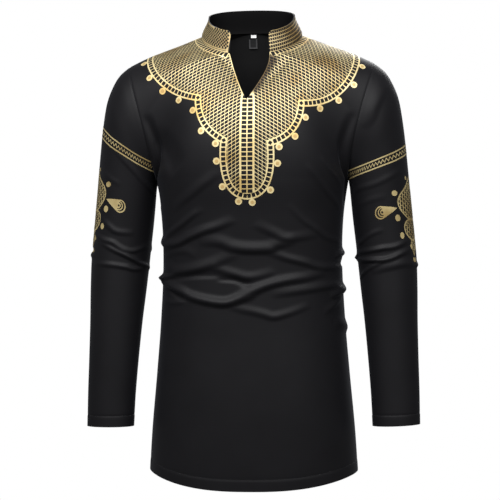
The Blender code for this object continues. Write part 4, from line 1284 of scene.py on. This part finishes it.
def collar_line(side, share, start, end):
    """A line along the stand at a share of its height, between two distances from the back."""
    rim = collar_cloth.rims[side]
    order = np.argsort(side * rim[:, 0])
    places = np.linspace(start, end, 60)
    before_corner = np.minimum(places, abs(rim[0, 0]) - COLLAR_CORNER_RADIUS[side])
    tall = np.interp(before_corner, side * rim[order, 0], rim[order, 1])
    return np.stack((side * places, share * tall), axis=1)


reach = abs(collar_cloth.rims[1][0, 0])
cell_height = COLLAR_SIDE_HEIGHT / COLLAR_LINES - COLLAR_LINE
holes = []
for side, end in ((1, reach + LINES_PAST_END), (-1, LATTICE_END - LINES_SHORT)):
    for k in range(COLLAR_LINES):
        line = collar_line(side, (k + 0.5) / COLLAR_LINES, 0.0, end)
        holes += rungs(line, 0.0, cell_height, COLLAR_CELL, COLLAR_CELL_PITCH,
                       slant=side * COLLAR_CELL_SLANT)
top_line = collar_line(-1, 1.0, LATTICE_END, reach)
slope = np.array((math.sqrt(0.5), math.sqrt(0.5)))
for n in range(LATTICE_ROWS):
    height = LATTICE_FLOOR + LATTICE_RISE * n
    for k in range(int((reach - LATTICE_END) / LATTICE_PITCH)):
        x = LATTICE_END + LATTICE_PITCH * (k + 0.5 + 0.5 * (n % 2))
        ceiling = np.interp(x, -top_line[:, 0], top_line[:, 1]) - LATTICE_MARGIN
        if height < ceiling and x < reach + 0.001:
            holes.append(box(np.array((-x, height)), slope, LATTICE_CELL, LATTICE_CELL))
for height in SEAM_SLITS:
    line = np.array([(-x, height) for x in np.linspace(LATTICE_END, reach - 0.004, 40)])
    holes.append(band(line, -SEAM_SLIT / 2.0, SEAM_SLIT / 2.0))
collar_gold = gold_foil("collar_foil", COLLAR_PALE, COLLAR_DEEP, 0.40)
whole = np.concatenate((collar_cloth.rims[1], collar_cloth.rims[-1][::-1],
                        [(-reach, -0.001), (reach, -0.001)]))
collar_print = lay_foil("collar_print", FlatCloth(collar_cloth, shared["collar"]), collar_gold,
                        [whole], holes)

# ---------------------------------------------------------------- foil print of the sleeves
# Each sleeve has a band of two lines with a zigzag between, and below it an arm piece on the
# outer line: netted medallions one under the other, with drops and dots beside them.
SleeveBand = namedtuple("SleeveBand", "across up width")
SLEEVE_BANDS = {
    1: SleeveBand((0.0, 0.012, 0.035, 0.071, 0.130, 0.190, 0.256, 0.285),
                  (0.491, 0.4885, 0.4815, 0.4705, 0.457, 0.4495, 0.445, 0.444), 0.0170),
    -1: SleeveBand((0.0, 0.012, 0.035, 0.073, 0.131, 0.180, 0.237, 0.285),
                   (0.529, 0.5265, 0.5185, 0.502, 0.482, 0.470, 0.462, 0.459), 0.0182),
}
BAND_LINE = 0.0026
ZIGZAG_PITCH = 0.0105
ZIGZAG_RISE = 0.0060
ZIGZAG_LINE = 0.0017
MOTIF_ACROSS = 0.022            # the arm piece's middle is this far in front of the outer line
MOTIF_TOP = {1: 0.446, -1: 0.466}
MOTIF_LINE = 0.0024
BAND_REACH = 0.283              # past the seam on both sides of the outer line

# Half the outline of the medallions, from the top down: metres from the middle, and down.
MEDALLIONS = (
    ((0.0, 0.0), (0.006, 0.009), (0.018, 0.020), (0.030, 0.030), (0.0365, 0.040), (0.0365, 0.050),
     (0.031, 0.060), (0.022, 0.068), (0.0125, 0.0745)),
    ((0.0125, 0.0745), (0.020, 0.079), (0.0245, 0.086), (0.0245, 0.094), (0.021, 0.102),
     (0.014, 0.108), (0.008, 0.112)),
    ((0.008, 0.112), (0.0095, 0.117), (0.009, 0.124), (0.006, 0.131), (0.0, 0.141)),
)
# Dots beside the medallions: from the middle, down, half as wide, half as high.
DOTS = ((0.0085, 0.001, 0.0030, 0.0036), (0.0430, 0.029, 0.0066, 0.0050),
        (0.0385, 0.073, 0.0056, 0.0060), (0.0310, 0.104, 0.0046, 0.0058),
        (0.0085, 0.124, 0.0052, 0.0050), (0.0030, 0.147, 0.0034, 0.0046))
DROP_TIP = (0.0385, 0.055)
DROP_HEART = {1: (0.0730, 0.0635), -1: (0.0712, 0.0685)}
DROP_RADIUS = 0.0118
# Radii of the two arcs of each crescent, each with how far its middle is toward the tip.
DROP_CRESCENTS = (((0.0096, 0.0002), (0.0082, 0.0024)), ((0.0066, 0.0030), (0.0054, 0.0045)))
DROP_EYE = (0.0021, 0.0032)     # its radius, and how far it is toward the tip
ARM_NET = (0.0068, 0.0078, 0.0047, 0.0064, 0.0018)  # pitch across and up, cell, slant
ARM_PALE = (0.60, 0.49, 0.24)
ARM_DEEP = (0.36, 0.25, 0.09)


def drop(tip, heart):
    """A drop from its tip to its round end, and the crescents and eye cut in it."""
    away = heart - tip
    reach = np.linalg.norm(away)
    along = away / reach
    side = np.array((-along[1], along[0]))
    turns = np.radians(np.linspace(-115.0, 115.0, 26))[:, None]
    end = heart + DROP_RADIUS * (np.cos(turns) * along + np.sin(turns) * side)
    waist = [tip + along * reach * 0.33 + side * sign * DROP_RADIUS * 0.40 for sign in (-1, 1)]
    gold = np.concatenate(([tip], [waist[0]], end, [waist[1]]))
    holes = []
    turns = np.radians(np.linspace(-100.0, 100.0, 18))[:, None]
    for arcs in DROP_CRESCENTS:
        far, near = [heart - along * shift + bend * (np.cos(turns) * along + np.sin(turns) * side)
                     for bend, shift in arcs]
        holes.append(np.concatenate((far, near[::-1])))
    holes.append(round_dot(heart - along * DROP_EYE[1], DROP_EYE[0], 12))
    return gold, holes


def arm_piece(side):
    """Gold, holes, net and its ground of one sleeve, in metres across and up its flat cloth."""
    laid = SLEEVE_BANDS[side]
    across = np.concatenate((-np.array(laid.across[:0:-1]), laid.across))
    up = np.concatenate((laid.up[:0:-1], laid.up))
    places = np.linspace(-BAND_REACH, BAND_REACH, 150)
    line = np.stack((places, curve(across, up, places)), axis=1)
    gold = [band(line, 0.0, BAND_LINE), band(line, laid.width - BAND_LINE, laid.width)]
    middle = line + lefts(line) * laid.width / 2.0
    total = runs(middle)[-1]
    count = 2 * round(total / ZIGZAG_PITCH)
    zigzag = []
    for k in range(count):
        place, along = at_run(middle, total * (k + 0.5) / count)
        zigzag.append(place + np.array((-along[1], along[0])) * ZIGZAG_RISE * (k % 2 - 0.5))
    gold.append(band(np.array(zigzag), -ZIGZAG_LINE / 2.0, ZIGZAG_LINE / 2.0))
    holes, ground = [], []
    for half in MEDALLIONS:
        half = np.array(half)
        down = np.linspace(0, len(half) - 1, 4 * len(half))
        half = np.stack([curve(np.arange(len(half)), half[:, k], down) for k in (0, 1)], axis=1)
        whole = np.concatenate((half, half[::-1] * (-1.0, 1.0)))
        inset = half + lefts(half) * MOTIF_LINE
        inset = inset[inset[:, 0] > 0.0004]
        gold.append(whole)
        ground.append(np.concatenate((inset, inset[::-1] * (-1.0, 1.0))))
    for sign in (1, -1):
        mirror = np.array((sign, 1.0))
        for x, y, wide, high in DOTS:
            gold.append(mirror * (x, y) + round_dot((0.0, 0.0), 1.0, 16) * (wide, high))
        shape, cuts = drop(mirror * DROP_TIP, mirror * DROP_HEART[side])
        gold.append(shape)
        holes += cuts
    pitch, rise, wide, high, slant = ARM_NET
    net = []
    for k in range(-8, 9):
        for n in range(26):
            place = np.array((pitch * k, rise * (n + 0.5 * (k % 2))))
            net.append(box(place, np.array((0.0, 1.0)), high, wide, math.copysign(slant, k)))
    move = np.array((MOTIF_ACROSS, MOTIF_TOP[side]))
    flip = np.array((1.0, -1.0))
    groups = [gold[:3] + [shape * flip + move for shape in gold[3:]]]
    return groups + [[shape * flip + move for shape in group] for group in (holes, net, ground)]


arm_gold = gold_foil("sleeve_foil", ARM_PALE, ARM_DEEP, 0.40)
for word, side in (("sleeve_left", 1), ("sleeve_right", -1)):
    flat_sleeve = FlatCloth(cloths[word], shared[word])
    lay_foil(word + "_print", flat_sleeve, arm_gold, *arm_piece(side))

# ---------------------------------------------------------------- label and size tab
# A small damask label and a white size tab, both blank, are caught in the collar seam and lie
# on the inner face of the back. Each is a woven ribbon with firm edges.
Ribbon = namedtuple("Ribbon", "across top_z width drop lift curl skew thick")
LABEL = Ribbon(across=-0.0024, top_z=0.0088, width=0.0150, drop=0.0168, lift=0.0004,
               curl=0.0010, skew=0.0012, thick=0.00035)
TAB = Ribbon(across=-0.0010, top_z=0.0158, width=0.0098, drop=0.0050, lift=0.0012,
             curl=0.0004, skew=0.0, thick=0.00045)
RIBBON_EDGE = 0.0022            # the woven selvedge
RIBBON_RIDGE = 0.002827         # between the soft ridges of the weave
RIBBON_RELIEF = 0.0001
LABEL_DARK = (0.010, 0.010, 0.011)
LABEL_GREY = (0.085, 0.085, 0.088)
TAB_WHITE = (0.93, 0.93, 0.92)
TAB_SHADE = (0.90, 0.90, 0.89)


def ribbon(name, size, columns, rows, body, edge, painted_glow=0.0):
    """A woven ribbon on the inner face of the back, with its selvedge, its weave and a painted
    glow of the given strength.
    """
    inner = BVHTree.FromPolygons([vertex.co for vertex in shown["back"].data.vertices],
                                 [face.vertices[:] for face in shown["back"].data.polygons])
    points, flats = [], []
    for layer in (0.0, size.thick):
        for row in range(rows + 1):
            down = row / rows
            for column in range(columns + 1):
                share = column / columns - 0.5
                x = size.across + size.width * share
                z = size.top_z - size.drop * down + size.skew * share * (1.0 - down)
                hit = inner.ray_cast(Vector((x, 0.0, z)), Vector((0.0, 1.0, 0.0)))[0]
                away = size.lift + size.curl * down * down + layer
                points.append((x, hit.y - away, z))
                flats.append((x - size.across, size.drop * (1.0 - down)))
    stride = (columns + 1) * (rows + 1)
    faces = []
    for row in range(rows):
        for column in range(columns):
            a = row * (columns + 1) + column
            quad = (a, a + columns + 1, a + columns + 2, a + 1)
            faces.append(tuple(k + stride for k in quad))
            faces.append(quad[::-1])
    rim = ([row * (columns + 1) for row in range(rows + 1)]
           + [rows * (columns + 1) + column for column in range(1, columns + 1)]
           + [row * (columns + 1) + columns for row in range(rows - 1, -1, -1)]
           + list(range(columns - 1, 0, -1)))
    for a, b in zip(rim, rim[1:] + rim[:1]):
        faces.append((a, b, b + stride, a + stride))
    mesh = bpy.data.meshes.new(name)
    mesh.from_pydata(points, [], faces)
    lay_cloth_map(mesh, np.array(flats))
    # Emission here is painted light: a glow that keeps a ribbon bright in the shade inside the
    # collar.
    finish = Finish(name + "_weave", Roughness=0.7, Specular_IOR_Level=0.3, Sheen_Weight=0.1,
                    Emission_Color=(1.0, 1.0, 1.0, 1.0), Emission_Strength=painted_glow)
    across, up = finish.cloth_place()
    weave = finish.ridges("Y", RIBBON_RIDGE) * 0.5 + finish.ridges("X", RIBBON_RIDGE) * 0.5
    from_middle = finish.node("ShaderNodeMath", {"operation": "ABSOLUTE"}, {0: across})
    sides = finish.node("ShaderNodeMath", {"operation": "GREATER_THAN"},
                        {0: from_middle, 1: size.width / 2.0 - RIBBON_EDGE})
    foot = finish.node("ShaderNodeMath", {"operation": "LESS_THAN"}, {0: up, 1: RIBBON_EDGE})
    bound = finish.node("ShaderNodeMath", {"operation": "MAXIMUM"}, {0: sides, 1: foot})
    finish.feed(Base_Color=finish.blend(bound * 0.8 + weave * 0.2, body, edge),
                Normal=finish.relief(weave, 0.5, RIBBON_RELIEF))
    mesh.materials.append(finish.material)
    mesh.shade_smooth()
    mesh.set_sharp_from_angle(angle=SHARP_EDGE)
    return add_piece(name, mesh)


neck_label = ribbon("neck_label_ribbon", LABEL, 8, 10, LABEL_DARK, LABEL_GREY)
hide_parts("neck_label")
# The white tab is given a painted glow, so it stays white in the shade inside the collar.
size_tab = ribbon("size_tab_ribbon", TAB, 6, 4, TAB_SHADE, TAB_WHITE, painted_glow=0.35)
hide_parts("size_tab")

# ---------------------------------------------------------------- stitches
# The turned-in hem and cuffs are held by one row of machine stitches in black thread, each
# stitch pressed a little into the cloth.
STITCH_LENGTH = 0.0027
STITCH_PITCH = 0.0034
THREAD = 0.00045
THREAD_SUNK = 0.35              # its middle stands this share of its width above the cloth
THREAD_BLACK = (0.006, 0.006, 0.007)
THREAD_LIT = (0.016, 0.016, 0.018)
STRANDS = 2400.0                # scale of its unevenness
STRAND_RELIEF = 0.00008


def stitch_rows():
    """A node tree that lays stitches along every line of the mesh it is given."""
    tree = bpy.data.node_groups.new("stitch_row", "GeometryNodeTree")
    face = tree.interface
    face.new_socket("Geometry", in_out="INPUT", socket_type="NodeSocketGeometry")
    sockets = {word: face.new_socket(word, in_out="INPUT", socket_type=kind)
               for word, kind in (("Pitch", "NodeSocketFloat"), ("Length", "NodeSocketFloat"),
                                  ("Thread", "NodeSocketFloat"), ("Cotton", "NodeSocketMaterial"))}
    face.new_socket("Geometry", in_out="OUTPUT", socket_type="NodeSocketGeometry")

    def add(kind, links=(), **settings):
        node = tree.nodes.new(kind)
        for word, value in settings.items():
            setattr(node, word, value)
        for word, value in dict(links).items():
            if isinstance(value, bpy.types.NodeSocket):
                tree.links.new(value, node.inputs[word])
            else:
                node.inputs[word].default_value = value
        return node.outputs

    given = add("NodeGroupInput")
    line = add("GeometryNodeMeshToCurve", {"Mesh": given["Geometry"]})
    points = add("GeometryNodeCurveToPoints", {"Curve": line["Curve"], "Length": given["Pitch"]},
                 mode="LENGTH")
    turned = add("FunctionNodeAlignRotationToVector", {"Vector": points["Tangent"]}, axis="Z")
    size = add("ShaderNodeCombineXYZ", {"X": given["Thread"], "Y": given["Thread"],
                                        "Z": given["Length"]})
    bead = add("GeometryNodeMeshUVSphere", {"Segments": 6, "Rings": 4, "Radius": 0.5})
    laid = add("GeometryNodeInstanceOnPoints",
               {"Points": points["Points"], "Instance": bead["Mesh"],
                "Rotation": turned["Rotation"], "Scale": size["Vector"]})
    real = add("GeometryNodeRealizeInstances", {"Geometry": laid["Instances"]})
    done = add("GeometryNodeSetMaterial", {"Geometry": real["Geometry"],
                                           "Material": given["Cotton"]})
    add("NodeGroupOutput", {"Geometry": done["Geometry"]})
    return tree, {word: socket.identifier for word, socket in sockets.items()}


thread = Finish("black_thread", Roughness=0.6, Sheen_Weight=0.1, Specular_IOR_Level=0.3)
strands = thread.noise(STRANDS, 1.0, 0.5)
thread.feed(Base_Color=thread.blend(strands, THREAD_BLACK, THREAD_LIT),
            Normal=thread.relief(strands, 0.4, STRAND_RELIEF))
lines, edges = [], []
for word in ("front", "back", "sleeve_left", "sleeve_right"):
    cloth = cloths[word]
    row = np.flatnonzero(np.abs(cloth.known["from_hem"][:, 0] - HEM_DEPTH) < 1e-6)
    row = row[np.argsort(cloth.known["flat"][row, 0])]
    start = len(lines)
    lines += (cloth.points[row] + shared[word][row] * THREAD_SUNK * THREAD).tolist()
    edges += [(k, k + 1) for k in range(start, len(lines) - 1)]
    if word.startswith("sleeve"):
        edges.append((len(lines) - 1, start))
guide = bpy.data.meshes.new("stitch_guide")
guide.from_pydata(lines, edges, [])
sewing = bpy.data.objects.new("stitch_guide", guide)
bpy.context.scene.collection.objects.link(sewing)
tree, sockets = stitch_rows()
modifier = sewing.modifiers.new("stitches", "NODES")
modifier.node_group = tree
for word, value in (("Pitch", STITCH_PITCH), ("Length", STITCH_LENGTH), ("Thread", THREAD),
                    ("Cotton", thread.material)):
    modifier[sockets[word]] = value
sewn = bpy.data.meshes.new_from_object(
    sewing.evaluated_get(bpy.context.evaluated_depsgraph_get()))
bpy.data.objects.remove(sewing)
sewn.name = "hem_stitches"
sewn.shade_smooth()
add_piece("hem_stitches", sewn)

# ---------------------------------------------------------------- floor, light and camera
FLOOR_Z = -1.47
FLOOR_RADIUS = 4.4
floor_mesh = bpy.data.meshes.new("floor")
rim = [(FLOOR_RADIUS * math.cos(math.radians(turn)), FLOOR_RADIUS * math.sin(math.radians(turn)),
        FLOOR_Z) for turn in range(0, 360, 5)]
floor_mesh.from_pydata(rim, [], [range(len(rim))])
floor_paint = Finish("studio_floor", Base_Color=(0.0, 0.0, 0.0, 1.0), Roughness=0.9,
                     Specular_IOR_Level=0.0, Emission_Color=(0.98, 0.98, 0.98, 1.0),
                     Emission_Strength=1.0)
floor_mesh.materials.append(floor_paint.material)
floor = bpy.data.objects.new("floor", floor_mesh)
floor.visible_diffuse = False
floor.visible_glossy = False
bpy.context.scene.collection.objects.link(floor)

# The backdrop is white, and the room round it gives a dim even light.
BACKDROP_STRENGTH = 1.0
ROOM_STRENGTH = 0.12
world = bpy.data.worlds.new("studio")
bpy.context.scene.world = world
world.use_nodes = True
sky = world.node_tree.nodes["Background"]
sky.inputs["Color"].default_value = (1.0, 1.0, 1.0, 1.0)
seen = Value(world.node_tree.nodes.new("ShaderNodeLightPath").outputs["Is Camera Ray"])
plug(sky.inputs["Strength"], ROOM_STRENGTH + seen * (BACKDROP_STRENGTH - ROOM_STRENGTH))


def soft_light(name, place, aim, width, height, power):
    lamp = bpy.data.lights.new(name, "AREA")
    lamp.shape = "RECTANGLE"
    lamp.size, lamp.size_y, lamp.energy = width, height, power
    light = bpy.data.objects.new(name, lamp)
    light.location = place
    light.rotation_euler = (Vector(aim) - Vector(place)).to_track_quat("-Z", "Y").to_euler()
    bpy.context.scene.collection.objects.link(light)


soft_light("key", (-1.05, -2.1, 1.8), (0.0, 0.0, -0.3), 2.0, 1.6, 88.0)
soft_light("fill", (1.15, -2.2, 1.7), (0.0, 0.0, -0.3), 2.0, 1.6, 72.0)
soft_light("back", (0.6, 2.8, 1.6), (0.0, 0.0, -0.4), 1.8, 1.8, 60.0)

CAMERA_DISTANCE = 3.2
CAMERA_Z = -0.378
CAMERA_TURN = math.radians(5.0)
CAMERA_ROLL = math.radians(0.3)
CAMERA_ASIDE = 0.0045
CAMERA_LENS = 128.0             # millimetres, on a sensor this wide
CAMERA_SENSOR = 36.0
look = Vector((-math.sin(CAMERA_TURN), math.cos(CAMERA_TURN), 0.0))
right = Vector((math.cos(CAMERA_TURN), math.sin(CAMERA_TURN), 0.0))
up = Vector((0.0, 0.0, 1.0))
rolled_right = right * math.cos(CAMERA_ROLL) - up * math.sin(CAMERA_ROLL)
rolled_up = up * math.cos(CAMERA_ROLL) + right * math.sin(CAMERA_ROLL)
lens = bpy.data.cameras.new("camera")
lens.sensor_width = CAMERA_SENSOR
lens.lens = CAMERA_LENS
camera = bpy.data.objects.new("camera", lens)
place = Vector((0.0, 0.0, CAMERA_Z)) - look * CAMERA_DISTANCE - right * CAMERA_ASIDE
turned = Matrix((rolled_right, rolled_up, -look)).transposed()
camera.matrix_world = Matrix.Translation(place) @ turned.to_4x4()
bpy.context.scene.collection.objects.link(camera)
bpy.context.scene.camera = camera
bpy.context.scene.view_settings.view_transform = "Standard"
